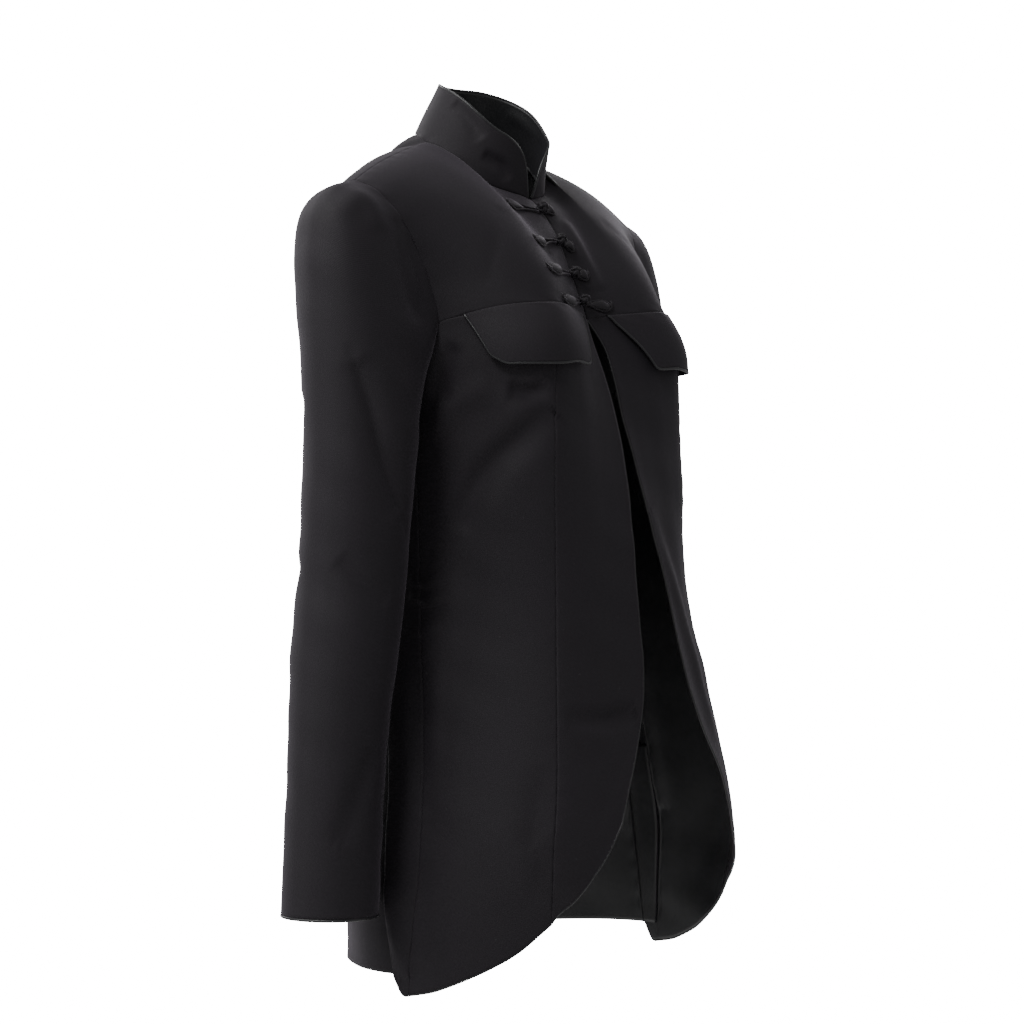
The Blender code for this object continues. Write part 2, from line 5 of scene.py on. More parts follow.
import bmesh
import bpy
import numpy as np
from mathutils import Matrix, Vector


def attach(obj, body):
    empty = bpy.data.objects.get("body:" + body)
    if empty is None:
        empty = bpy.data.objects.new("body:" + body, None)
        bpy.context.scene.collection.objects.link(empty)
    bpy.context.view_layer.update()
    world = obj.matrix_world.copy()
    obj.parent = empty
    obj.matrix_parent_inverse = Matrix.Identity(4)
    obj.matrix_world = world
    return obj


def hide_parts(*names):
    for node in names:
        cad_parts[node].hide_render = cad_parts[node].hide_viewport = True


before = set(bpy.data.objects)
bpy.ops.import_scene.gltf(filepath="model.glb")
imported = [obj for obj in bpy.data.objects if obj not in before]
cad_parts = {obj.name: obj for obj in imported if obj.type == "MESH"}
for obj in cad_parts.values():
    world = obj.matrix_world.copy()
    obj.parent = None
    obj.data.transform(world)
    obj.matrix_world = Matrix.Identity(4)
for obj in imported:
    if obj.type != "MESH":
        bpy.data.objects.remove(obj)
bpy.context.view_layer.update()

# The cut of the jacket. Metres, +Z up, the front towards -Y, the wearer's left at +X. A place on the
# body is (way, z): way 0 is the front edge, 1 the princess seam, 2 the side seam, 3 the vent seam,
# 4 the shoulder blade, 5 the centre back.
CLOTH = 0.0014
PIPING = 0.0025
EDGE_PIPING = 0.0014
VENT, BLADE, CENTRE_BACK = 3, 4, 5
ARMHOLE_FRONT = 1.72
ARMHOLE_BACK = 3.36
ARMHOLE_BACK_Z = -0.100

Level = namedtuple(
    "Level",
    "z edge_x edge_y princess_x princess_y side_x side_y vent_x vent_y blade_x blade_y back_y",
)
LEVELS = [
    Level(-0.085, 0.0004, -0.0925, 0.0820, -0.1170, 0.1600, -0.012, 0.1620, 0.016, 0.112, 0.070, 0.086),
    Level(-0.105, 0.0004, -0.1000, 0.0860, -0.1240, 0.1580, -0.014, 0.1600, 0.014, 0.112, 0.070, 0.086),
    Level(-0.130, 0.0080, -0.1135, 0.0920, -0.1305, 0.1550, -0.018, 0.1565, 0.012, 0.108, 0.071, 0.085),
    Level(-0.175, 0.0055, -0.1290, 0.0940, -0.1325, 0.1505, -0.025, 0.1510, 0.008, 0.102, 0.068, 0.082),
    Level(-0.240, 0.0100, -0.1460, 0.0970, -0.1340, 0.1470, -0.031, 0.1475, 0.003, 0.096, 0.058, 0.072),
    Level(-0.335, 0.0245, -0.1655, 0.1007, -0.1370, 0.1485, -0.036, 0.1495, -0.003, 0.092, 0.046, 0.057),
    Level(-0.425, 0.0395, -0.1810, 0.1168, -0.1489, 0.1630, -0.048, 0.1665, -0.015, 0.102, 0.052, 0.065),
    Level(-0.490, 0.0725, -0.1890, 0.1295, -0.1578, 0.1735, -0.056, 0.1770, -0.025, 0.108, 0.057, 0.072),
    Level(-0.550, 0.0955, -0.1885, 0.1385, -0.1600, 0.1815, -0.060, 0.1860, -0.028, 0.112, 0.061, 0.077),
    Level(-0.600, 0.1030, -0.1810, 0.1330, -0.1545, 0.1855, -0.056, 0.1880, -0.034, 0.114, 0.063, 0.080),
    Level(-0.660, 0.1060, -0.1720, 0.1340, -0.1400, 0.1870, -0.053, 0.1885, -0.042, 0.115, 0.064, 0.082),
]

# Seam lines across the body: the place on the way round, then the height there
YOKE_SEAM = [(0.0, -0.105), (0.5, -0.100), (1.0, -0.0975), (1.4, -0.1025), (ARMHOLE_FRONT, -0.1146)]
ARMHOLE_LOW = [(ARMHOLE_FRONT, -0.1146), (1.82, -0.145), (2.0, -0.166), (2.5, -0.1745), (3.0, -0.166)]
ARMHOLE_RISE = [(3.0, -0.166), (3.20, -0.145), (3.31, -0.122), (ARMHOLE_BACK, ARMHOLE_BACK_Z)]
HEM = [
    (0.0, -0.518), (0.12, -0.5405), (0.3, -0.558), (0.6, -0.577), (1.0, -0.595), (1.2, -0.6165),
    (1.4, -0.631), (1.6, -0.6415), (1.8, -0.6495), (2.0, -0.6535), (2.7, -0.648), (3.0, -0.637),
]
BACK_HEM = -0.638
VENT_TOP = -0.470
VENT_UNDERLAP = 0.95
UNDERLAP_DEPTH = 0.0026
# The back sinks under the side panel at the vent, from one way and height to the next
TUCK_WAY = BLADE - 0.25
TUCK_WAYS = 0.6
TUCK_TOP = VENT_TOP + 0.04
TUCK_DROP = 0.035

# The neck seam's heights are by the angle from the centre front. The ways to a seam's middle and ends
# are the ones in which the cloth comes to it.
NECK_MIDDLE_Y = 0.011
NECK_HALF_WIDTH = 0.062
NECK_HALF_DEPTH = 0.053
NECK_HEIGHT = [(0, -0.002), (45, 0.0095), (90, 0.040), (135, 0.056), (180, 0.058)]
SHOULDER_ANGLE = 98
SHOULDER_TIP = Vector((0.188, 0.0, 0.0))
SHOULDER_SWELL = 0.006
FRONT_TO_NECK = Vector((0, 0.80, 0.60))
FRONT_TO_NECK_CORNER = Vector((0, 0.55, 0.12))
FRONT_TO_TIP = Vector((0, 1.0, 0.10))
BACK_TO_NAPE = Vector((0, -0.55, 0.83))
BACK_TO_NECK_CORNER = Vector((0, -1.25, -0.12))
BACK_TO_TIP = Vector((0, -1.2, -0.10))
YOKE_STRAIGHT = 0.25

COLLAR_MIDDLE_Y = -0.004
COLLAR_HALF_WIDTH = 0.050
COLLAR_HALF_DEPTH = 0.047
COLLAR_HEIGHT = [(0, 0.040), (45, 0.0514), (90, 0.082), (135, 0.0975), (180, 0.099)]
COLLAR_START_ANGLE = 3
COLLAR_END_ANGLE = 18
COLLAR_CORNER = 0.024
COLLAR_CLOTH = 0.0018

FLAP_TOP_INNER = 0.25
FLAP_TOP_OUTER = 1.57
FLAP_FOOT_INNER = 0.50
FLAP_FOOT_OUTER = 1.42
FLAP_FOOT_Z = -0.1475
FLAP_LIFT_TOP = 0.0009
FLAP_LIFT_FOOT = 0.0062
# Its outer corner is rounded over the last share of its length, its foot dips a little, and it is
# puffed up over wadding
FLAP_ROUNDING = 0.05
FLAP_CORNER_RISE = 0.15
FLAP_DIP = 0.035
FLAP_DIP_AT = 0.30
FLAP_DIP_WIDTH = 0.16
FLAP_PUFF = 0.0024
PUFF_SQUARE_ALONG = 0.7
PUFF_SQUARE_DOWN = 0.8
PUFF_FOOT = 0.93

# Frogs: the height of each knot, where it and the ends of its leaves lie as shares of the way across
# the yoke, and how far the leaves rise from the knot
Frog = namedtuple("Frog", "z knot right_start right_end left_end rise")
FROGS = [
    Frog(-0.0135, 0.036, 0.058, 0.37, 0.078, 0.0022),
    Frog(-0.0405, 0.042, 0.062, 0.45, 0.080, -0.0030),
    Frog(-0.0680, 0.038, 0.066, 0.51, 0.112, 0.0000),
    Frog(-0.0920, 0.046, 0.070, 0.45, 0.190, -0.0022),
]
FROG_KNOT = 0.0098
LEFT_START = -0.002
KNOT_GAP = 0.0002

Ring = namedtuple("Ring", "z x y across deep")
SLEEVE_RINGS = [
    Ring(-0.210, 0.1990, -0.0145, 0.0455, 0.0470),
    Ring(-0.310, 0.2035, -0.0096, 0.0450, 0.0435),
    Ring(-0.370, 0.2120, -0.0095, 0.0430, 0.0430),
    Ring(-0.458, 0.2220, -0.0088, 0.0400, 0.0400),
    Ring(-0.538, 0.2290, -0.0090, 0.0388, 0.0388),
    Ring(-0.587, 0.2310, -0.0085, 0.0390, 0.0390),
]
CUFF_Z = SLEEVE_RINGS[-1].z
LEAVES_TIP = Vector((0.95, 0.0, -0.06))
LEAVES_UNDERARM = Vector((0.06, 0.0, -1.0))
LEAVES_TO_FRONT = 0.02
LEAVES_TO_BACK = 0.42
LEFT_ARM_BACK = 0.012
ENDS_OUTSIDE = 1.85
FORE_SEAM_STEP = 9
HIND_SEAM_STEP = 20
FORE_SEAM_TURN = 150
HIND_SEAM_TURN = 292

# Where each piece's points are worked out, before the cloth is laid more finely through them
FRONT_WAYS = [0.0, 0.12, 0.3, 0.6, 0.96, 1.0]
SIDE_FRONT_WAYS = [1.0, 1.03, 1.2, 1.4, 1.58, ARMHOLE_FRONT, 1.84, 2.0]
SIDE_WAYS = [2.0, 2.4, 2.75, 2.93, 3.0]
BODY_ROWS = 16
BACK_ROWS = 10
VENT_ROWS = 6
UNDERLAP_COLUMNS = 4
ROW_UNDER_VENT_TOP = 0.006
YOKE_SHARES = [k / 16 for k in range(9)] + [0.625, 0.75, 0.875, 0.98, 1.0]
YOKE_UPS = [0, 1 / 6, 1 / 3, 1 / 2, 2 / 3, 5 / 6, 0.975, 1]
BACK_SHARES = [k / 12 for k in range(7)] + [0.625, 0.75, 0.875, 0.985, 1.0]
SLEEVE_HEAD_ROWS = 6
SLEEVE_ROWS = 7
COLLAR_ROWS = 4
COLLAR_CORNER_ANGLES = [3, 5, 7.5, 10]
FLAP_COLUMNS = 7
FLAP_ROWS = 3


def curve_shares(t):
    """Shares of a curve's start, the way out of it, its end and the way into it, at t along it."""
    return 2 * t**3 - 3 * t**2 + 1, t**3 - 2 * t**2 + t, 3 * t**2 - 2 * t**3, t**3 - t**2


def smooth(table, at):
    """The value at a place of the smooth curve through a table of (place, value)."""
    places = [row[0] for row in table]
    last = len(table) - 2
    i = min(max(sum(place <= at for place in places) - 1, 0), last)

    def slope(k):
        if k in (0, last + 1):
            a, b = (0, 1) if k == 0 else (last, last + 1)
            return (table[b][1] - table[a][1]) / (places[b] - places[a])
        before = places[k] - places[k - 1]
        after = places[k + 1] - places[k]
        rise_before = (table[k][1] - table[k - 1][1]) / before
        rise_after = (table[k + 1][1] - table[k][1]) / after
        return (rise_before * after + rise_after * before) / (before + after)

    span = places[i + 1] - places[i]
    start, leave, end, arrive = curve_shares((at - places[i]) / span)
    first = table[i][1] * start + slope(i) * (span * leave)
    return first + (table[i + 1][1] * end + slope(i + 1) * (span * arrive))


def bend(start, start_way, end, end_way, t):
    """A point of the curve that leaves the start one way and comes to the end another way."""
    reach = (end - start).length
    a, b, c, d = curve_shares(t)
    return start * a + start_way * (reach * b) + end * c + end_way * (reach * d)


def ease(t):
    """Goes from 0 to 1 softly."""
    t = min(max(t, 0.0), 1.0)
    return t * t * (3 - 2 * t)


def column_at(rows, column, z):
    """The value of one column of the levels or the sleeve's rings at a height."""
    return smooth([(row.z, getattr(row, column)) for row in reversed(rows)], z)


def seam_places(z):
    """The six seam places at one level, and the mirror image of the shoulder blade after them."""
    names = ("edge", "princess", "side", "vent", "blade")
    places = [
        Vector((column_at(LEVELS, f"{name}_x", z), column_at(LEVELS, f"{name}_y", z), z)) for name in names
    ]
    places.append(Vector((0, column_at(LEVELS, "back_y", z), z)))
    places.append(Vector((-places[BLADE].x, places[BLADE].y, z)))
    return places


def body(way, z):
    """A point of the body's outer face."""
    places = seam_places(z)
    marks = [0.0]
    for before, after in zip(places, places[1:]):
        marks.append(marks[-1] + (after - before).length)
    i = min(int(way), CENTRE_BACK)
    at = marks[i] + (way - i) * (marks[i + 1] - marks[i])
    return smooth(list(zip(marks, places)), at)


def body_up(way, z, step=0.002):
    """The way up the cloth at a point of the body."""
    return (body(way, z + step) - body(way, z - step)).normalized()


def body_out(way, z, step=0.02):
    """The way out of the cloth at a point of the body."""
    along = body(way + step, z) - body(way - step, z)
    return along.cross(body_up(way, z)).normalized()


def neck_seam(angle):
    """A point of the neck seam, at an angle from the centre front."""
    turn = math.radians(angle)
    x = NECK_HALF_WIDTH * math.sin(turn)
    return Vector((x, NECK_MIDDLE_Y - NECK_HALF_DEPTH * math.cos(turn), smooth(NECK_HEIGHT, angle)))


def top_line(share, from_angle):
    """The neck seam over the first half of the share, then the shoulder seam to its tip."""
    if share <= 0.5:
        return neck_seam(from_angle + (SHOULDER_ANGLE - from_angle) * share * 2)
    along = share * 2 - 1
    swell = Vector((0, 0, SHOULDER_SWELL * 4 * along * (1 - along)))
    return neck_seam(SHOULDER_ANGLE).lerp(SHOULDER_TIP, along) + swell


def yoke(across, up):
    """A point of the front yoke, from the centre front to the armhole and from its seam to the shoulder."""
    way = ARMHOLE_FRONT * across
    foot_z = smooth(YOKE_SEAM, way)
    leave = body_up(way, foot_z)
    leave.x *= min(across / YOKE_STRAIGHT, 1)
    to_top = smooth([(0, FRONT_TO_NECK), (0.5, FRONT_TO_NECK_CORNER), (1, FRONT_TO_TIP)], across)
    return bend(body(way, foot_z), leave, top_line(across, 0), to_top, up)


def upper_back(across, up):
    """A point of the back above the blades, from the centre back to the armhole."""
    way = CENTRE_BACK + (ARMHOLE_BACK - CENTRE_BACK) * across
    foot = body(way, ARMHOLE_BACK_Z)
    to_top = smooth([(0, BACK_TO_NAPE), (0.5, BACK_TO_NECK_CORNER), (1, BACK_TO_TIP)], across)
    return bend(foot, body_up(way, ARMHOLE_BACK_Z), top_line(across, 180), to_top, up)


def armhole_way(z):
    """Where the back edge of the armhole crosses a level."""
    return smooth([(height, way) for way, height in ARMHOLE_RISE], z)


def back_heights():
    """Heights of the back's rows under the shoulder blades, from the hem up."""
    low = VENT_TOP - ROW_UNDER_VENT_TOP - BACK_HEM
    top = ARMHOLE_RISE[0][1]
    return (
        [BACK_HEM + low * k / VENT_ROWS for k in range(VENT_ROWS + 1)]
        + [VENT_TOP + (top - VENT_TOP) * k / BACK_ROWS for k in range(BACK_ROWS + 1)]
        + [height for way, height in ARMHOLE_RISE[1:]]
    )


def back(across, z):
    """A point of the back under the blades; past its edge, across runs on into the vent's underlap."""
    edge = armhole_way(z) if z >= ARMHOLE_RISE[0][1] else VENT
    way = CENTRE_BACK + (edge - CENTRE_BACK) * across
    tucked = ease((TUCK_WAY - way) / TUCK_WAYS) * ease((TUCK_TOP - z) / TUCK_DROP)
    return body(way, z) - body_out(way, z) * UNDERLAP_DEPTH * tucked


def panel_top(way):
    """The height of the seam at the top of the fronts and the side panel."""
    return smooth(YOKE_SEAM if way <= ARMHOLE_FRONT else ARMHOLE_LOW, way)


def down_body(way, row):
    """A point of the body in rows from the hem, 0, to the top seam, 1."""
    hem = smooth(HEM, way)
    return body(way, hem + (panel_top(way) - hem) * row)


def armhole_loop(step=0.03):
    """Points round the armhole and the way out of the body at each, from the tip by the front."""
    loop = []

    def add_upper(surface, ups, facing):
        for up in ups:
            edge = surface(1, up)
            along = edge - surface(1 - step, up)
            rise = surface(1, min(up + step, 1)) - surface(1, up - step if up > step else 0)
            loop.append((edge, along.cross(rise).normalized() * facing))

    add_upper(yoke, YOKE_UPS[::-1], 1)
    low = [(way, smooth(ARMHOLE_LOW, way)) for way in SIDE_FRONT_WAYS[-2:] + SIDE_WAYS[1:]]
    for way, z in low + ARMHOLE_RISE[1:]:
        loop.append((body(way, z), body_out(way, z)))
    add_upper(upper_back, YOKE_UPS[1:-1], -1)
    return loop


def sleeve_ring(z, turn, side):
    """A point of the sleeve below the armhole; the turn counts from the outer side by the front."""
    x, y, across, deep = (column_at(SLEEVE_RINGS, column, z) for column in ("x", "y", "across", "deep"))
    middle = Vector((x, y + (LEFT_ARM_BACK if side > 0 else 0), z))
    return middle + Vector((across * math.cos(turn), -deep * math.sin(turn), 0))


def sleeve_rows(steps, turns, side):
    """Rows of the sleeve from the cuff up, for armhole steps and the ring's turns that they run to."""
    loop = armhole_loop()
    first = SLEEVE_RINGS[0].z
    rows = []
    for k in range(SLEEVE_ROWS, 0, -1):
        z = first + (CUFF_Z - first) * k / SLEEVE_ROWS
        rows.append([sleeve_ring(z, turn, side) for turn in turns])
    for k in range(SLEEVE_HEAD_ROWS, -1, -1):
        row = []
        for step, turn in zip(steps, turns):
            edge, out = loop[step % len(loop)]
            share = (1 + math.cos(2 * math.pi * step / len(loop))) / 2
            aside = math.sin(turn)
            leave = LEAVES_UNDERARM.lerp(LEAVES_TIP, share)
            leave = leave - Vector((0, aside * (LEAVES_TO_FRONT if aside > 0 else LEAVES_TO_BACK), 0))
            arrive = Vector((0, 0, -1 - (ENDS_OUTSIDE - 1) * share))
            end = sleeve_ring(first, turn, side)
            row.append(bend(edge - out * HEAD_SINK, leave, end, arrive, k / SLEEVE_HEAD_ROWS))
        rows.append(row)
    return rows


def collar_top(angle):
    """A point of the collar's upper edge, before its corner is rounded."""
    turn = math.radians(angle)
    x = COLLAR_HALF_WIDTH * math.sin(turn)
    y = COLLAR_MIDDLE_Y - COLLAR_HALF_DEPTH * math.cos(turn)
    return Vector((x, y, smooth(COLLAR_HEIGHT, angle)))


def collar(angle, up):
    """A point of the collar's left half at an angle of the neck seam, as high as its corner lets."""
    share = (angle - COLLAR_START_ANGLE) / (180 - COLLAR_START_ANGLE)
    base = neck_seam(angle)
    top = collar_top(COLLAR_END_ANGLE + (180 - COLLAR_END_ANGLE) * share)
    from_end = math.radians(angle - COLLAR_START_ANGLE) * NECK_HALF_DEPTH / COLLAR_CORNER
    height = (top - base).length
    if from_end < 1:
        height += COLLAR_CORNER * (math.sqrt(1 - (1 - from_end) ** 2) - 1)
    return base + (top - base).normalized() * height * up


def collar_angles():
    """The collar's columns: at its corner, then where the yoke and the back have theirs."""
    front = [SHOULDER_ANGLE * share * 2 for share in YOKE_SHARES if 0 < share <= 0.5]
    rear = [180 + (SHOULDER_ANGLE - 180) * share * 2 for share in reversed(BACK_SHARES) if share < 0.5]
    return COLLAR_CORNER_ANGLES + front + rear


def flap(along, down):
    """A point of the flap's outer face, lifted off the front that it lies on."""
    top = FLAP_TOP_INNER + (FLAP_TOP_OUTER - FLAP_TOP_INNER) * along
    foot = FLAP_FOOT_INNER + (FLAP_FOOT_OUTER - FLAP_FOOT_INNER) * along
    way = top + (foot - top) * down
    top_z = smooth(YOKE_SEAM, top)
    z = top_z + (FLAP_FOOT_Z - top_z) * down
    lift = CLOTH + FLAP_LIFT_TOP + (FLAP_LIFT_FOOT - FLAP_LIFT_TOP) * down
    return body(way, z) + body_out(way, z) * lift


# How the cloth is laid: fine cells at a seam, wide ones between, and the seam's own valley, which is
# shallower at the shoulder and the armhole
CELL = 0.003
COLLAR_CELL = 0.002
FLAP_CELL = 0.0015
SEAM_CELLS = (0.0004, 0.0009, 0.0015, 0.0024, 0.0037)
SEAM_LAP = 0.0005
SEAM_VALLEY = 0.0009
SEAM_HALF_WIDTH = 0.0010
SHOULDER_SEAM = 0.6
ARMHOLE_SEAM = 0.35
HEAD_SINK = 0.0002

# A grid's four edges, each with the row or column next to it
EDGES = {
    "hem": (np.s_[0, :], np.s_[1, :]),
    "top": (np.s_[-1, :], np.s_[-2, :]),
    "start": (np.s_[:, 0], np.s_[:, 1]),
    "end": (np.s_[:, -1], np.s_[:, -2]),
}


def unit(ways):
    """The same ways, each one metre long."""
    return ways / np.maximum(np.linalg.norm(ways, axis=-1, keepdims=True), 1e-12)


def walked(line):
    """How far along a line each of its points lies."""
    return np.concatenate([[0.0], np.cumsum(np.linalg.norm(np.diff(line, axis=0), axis=1))])


def through(points, places, at):
    """Points of the smooth curves that go through rows of points, at other places along them."""
    span = np.diff(places)
    shape = (-1,) + (1,) * (points.ndim - 1)
    rise = np.diff(points, axis=0) / span.reshape(shape)
    slope = np.empty_like(points)
    slope[0], slope[-1] = rise[0], rise[-1]
    before, after = span[:-1].reshape(shape), span[1:].reshape(shape)
    slope[1:-1] = (rise[:-1] * after + rise[1:] * before) / (before + after)
    i = np.clip(np.searchsorted(places, at, side="right") - 1, 0, len(span) - 1)
    a, b, c, d = curve_shares(((at - places[i]) / span[i]).reshape(shape))
    reach = span[i].reshape(shape)
    return points[i] * a + slope[i] * (reach * b) + points[i + 1] * c + slope[i + 1] * (reach * d)


def walked_along(points, axis):
    """How far along its rows or columns each one of a grid's lies, on the mean, in metres."""
    steps = np.linalg.norm(np.diff(points, axis=axis), axis=2).mean(axis=1 - axis)
    return np.concatenate([[0.0], np.cumsum(steps)])


def laid_places(length, seam_at_start, seam_at_end, cell):
    """Places along a panel: even cells, and narrow ones next to a seam."""
    places = list(np.linspace(0, length, max(2, round(length / cell)) + 1))
    narrow = [near for near in SEAM_CELLS if near < length / 4]
    if seam_at_start:
        places += narrow
    if seam_at_end:
        places += [length - near for near in narrow]
    return np.unique(np.round(places, 7))


def outward(grid):
    """The way out of a grid of points at each of them."""
    return unit(np.cross(np.gradient(grid, axis=1), np.gradient(grid, axis=0)))


# Creases, in millimetres: the pieces that one runs over, how far it rises (a trough is below zero),
# how wide it is above and below its line, and the line itself
Crease = namedtuple("Crease", "pieces rise above below line")
FRONT_RIGHT = "centre_front_right side_front_right side_panel_right"
FRONT_LEFT = "centre_front_left side_front_left side_panel_left"
SLEEVE_RIGHT = "upper_sleeve_right under_sleeve_right"
SLEEVE_LEFT = "upper_sleeve_left under_sleeve_left"
CREASES = [
    # the pull from the bust to the waist on the right, and what goes with it
    Crease(FRONT_RIGHT, -4.2, 11, 18, [(-96, -133, -183), (-115, -114.9, -204.9), (-127.6, -94.4, -226),
        (-135.4, -75.2, -253), (-139.5, -62, -280)]),
    Crease(FRONT_RIGHT, 1.8, 14, 12, [(-129, -93, -164), (-141.2, -65, -183.1), (-147, -40, -208)]),
    Crease(FRONT_RIGHT, -3, 9, 10, [(-142.5, -66, -132), (-145.2, -56, -154.7), (-144, -56, -180)]),
    Crease(FRONT_RIGHT, -4.2, 6.5, 12, [(-101, -128, -164), (-112, -118.5, -169),
        (-121.5, -106, -166)]),
    # puckers beside the side seam, and the long soft folds below the waist
    Crease(FRONT_RIGHT, 1.6, 4.5, 5.5, [(-148.8, -25.1, -323.3), (-145.5, -42, -326.2),
        (-140.5, -56, -327)]),
    Crease(FRONT_RIGHT, 2, 5, 6, [(-150.2, -25.2, -336.3), (-146.2, -45, -340), (-138.2, -64, -340.8)]),
    Crease(FRONT_RIGHT, 1, 6, 5, [(-154, -24, -362.3), (-150.7, -45, -365), (-145, -58.5, -365.5)]),
    Crease(FRONT_RIGHT, -2.2, 13, 12, [(-156, -43.7, -386.8), (-169.3, -51.7, -462.3),
        (-176.4, -59, -511.9)]),
    Crease(FRONT_RIGHT, -2.6, 8, 12, [(-111, -152, -432), (-80, -168, -434), (-48, -180, -429)]),
    Crease("side_panel_right side_front_right", 3, 10, 11, [(-182.6, -24.5, -564.1),
        (-187.7, -40.5, -602.4), (-186.9, -51.9, -641.5)]),
    Crease(FRONT_RIGHT, -1.4, 16, 12, [(-129, -148, -470), (-140, -144, -525), (-138, -144, -570)]),
    # the left front, which the photo shows at its edge only
    Crease("centre_front_left", 2, 12, 14, [(17.9, -150.6, -263.8), (39.2, -158, -320.9),
        (64.2, -163.3, -383.9), (86.4, -175.6, -465.2)]),
    Crease(FRONT_LEFT, -3.6, 15, 16, [(103, -126.5, -182), (120, -108, -204), (132.5, -85, -228),
        (139.5, -64, -256)]),
    Crease(FRONT_LEFT, -2, 10, 9, [(144, -62, -137), (146.5, -50, -160), (150.5, -32, -174)]),
    Crease(FRONT_LEFT, 1.2, 5.5, 5, [(149.2, -26, -329), (145.2, -44, -333), (138, -64, -334.5)]),
    Crease(FRONT_LEFT, 1, 5, 6.5, [(152, -25, -349), (149, -44, -352.5), (143, -60, -353)]),
    Crease(FRONT_LEFT, -1.8, 12, 15, [(160, -48, -398), (172, -57, -470), (179, -65, -535)]),
    Crease("front_yoke_left", 1.8, 9, 10, [(26.7, -58.9, -18), (21.9, -80.7, -49.4),
        (23.8, -97.7, -79.8)]),
    Crease("front_yoke_left", -1.6, 12, 10, [(70, -62, -20), (95, -75, -50), (113, -90, -86)]),
    Crease("front_yoke_right", -1.1, 14, 10, [(-76, -66, -18), (-101, -78, -52), (-120, -85, -88)]),
    # sleeves
    Crease("upper_sleeve_right", -1.8, 12, 14, [(-179.7, -35.4, -31), (-180.8, -48.3, -82.3),
        (-171.3, -53.2, -115.6)]),
    Crease("upper_sleeve_right", -1.3, 7, 7, [(-169, -42, -44), (-166.9, -45.8, -65.2),
        (-161.1, -51.6, -103.7)]),
    Crease("upper_sleeve_right", 1.6, 13, 13, [(-233.1, -10.2, -32.4), (-204.8, -23.4, -18.8),
        (-202.1, -36.4, -43.3)]),
    Crease("upper_sleeve_right", -3.2, 14, 19, [(-234.8, -40.8, -147.6), (-228.6, -48.9, -185.4),
        (-216.3, -55.3, -234.9), (-199.8, -55.7, -268)]),
    Crease("upper_sleeve_right", -1.5, 5, 6, [(-240, -33, -134), (-230, -48, -184), (-217, -55, -234),
        (-201, -55.7, -266), (-187, -52, -286)]),
    Crease("upper_sleeve_right", -1.7, 12, 10, [(-244, -26, -305), (-233, -46, -327),
        (-213, -53.5, -339)]),
    Crease(SLEEVE_RIGHT, -2, 13, 12, [(-224.5, -48.7, -450.9), (-240.9, -44.5, -493.9),
        (-255.7, -36.3, -531.5)]),
    Crease(SLEEVE_RIGHT, -2.4, 14, 16, [(-230, 24, -170), (-205, 33, -215), (-178, 26, -264)]),
    Crease(SLEEVE_RIGHT, -1.9, 12, 11, [(-242, 18, -305), (-220, 33, -330), (-195, 30, -352)]),
    Crease("upper_sleeve_left", -2.6, 12, 10, [(180, -25, -36), (181.5, -38, -87), (172, -44, -123)]),
    Crease("upper_sleeve_left", -2.9, 17, 14, [(237, -26, -160), (230, -36, -200), (215, -43, -245),
        (198, -43, -282)]),
    Crease(SLEEVE_LEFT, -2.2, 12, 12, [(248, -10, -318), (235, -32, -342), (215, -40, -356)]),
    Crease(SLEEVE_LEFT, -1.8, 10, 14, [(226, -36, -460), (242, -31, -502), (256, -20, -540)]),
    Crease(SLEEVE_LEFT, -2.2, 13, 15, [(231, 35, -185), (208, 45, -228), (182, 38, -275)]),
    # collar
    Crease("collar", -1.7, 7, 8, [(-51.2, 0.8, 78.9), (-50.3, -13.2, 64.4), (-45.6, -24.4, 47.2)]),
    Crease("collar", -2.2, 6, 6, [(-44.8, -25.9, 33.7), (-39.3, -31.3, 28.8), (-32.7, -35.9, 24.1),
        (-26.9, -38, 12.6)]),
    Crease("collar", -1, 6, 7, [(50, 15, 82), (49, -4, 68), (44, -22, 54)]),
    Crease("collar", -0.9, 7, 5, [(-30, 42, 90), (-8, 52, 80), (18, 50, 76)]),
    # the back: from the armholes to the blades, over the waist, and down to the hem
    Crease("back_right", -2.8, 14, 18, [(-148, 34, -170), (-119, 64, -212), (-84, 64, -252)]),
    Crease("back_left", -2.4, 16, 15, [(147, 34, -182), (116, 62, -232), (76, 65, -268)]),
    Crease("back_right", -1.8, 12, 12, [(-72, 71, -50), (-100, 71, -108), (-113, 69, -160)]),
    Crease("back_left", -1.5, 12, 14, [(64, 72, -62), (93, 73, -116), (108, 70, -172)]),
    Crease("back_right side_panel_right", -1.9, 13, 11, [(-146, 6, -316), (-103, 41, -330),
        (-48, 54, -326)]),
    Crease("back_left side_panel_left", -1.6, 11, 13, [(147, 2, -332), (108, 38, -344),
        (64, 50, -339)]),
    Crease("back_right", -1.2, 10, 10, [(-125, 28, -356), (-90, 46, -365), (-56, 56, -364)]),
    Crease("back_right", -2.1, 14, 13, [(-143, 22, -430), (-126, 45, -490), (-116, 57, -560)]),
    Crease("back_left", -1.8, 12, 15, [(134, 31, -448), (118, 52, -508), (108, 62, -585)]),
    Crease("back_left", -1.4, 12, 12, [(62, 64, -420), (52, 74, -490), (56, 80, -560)]),
]


# A crease is this many times as deep as its rise says, and the cloth beside it rises against it by
# the share
CREASE_DEPTH = 1.6
CREASE_SHOULDER = 0.55
CREASE_MARKS = 28


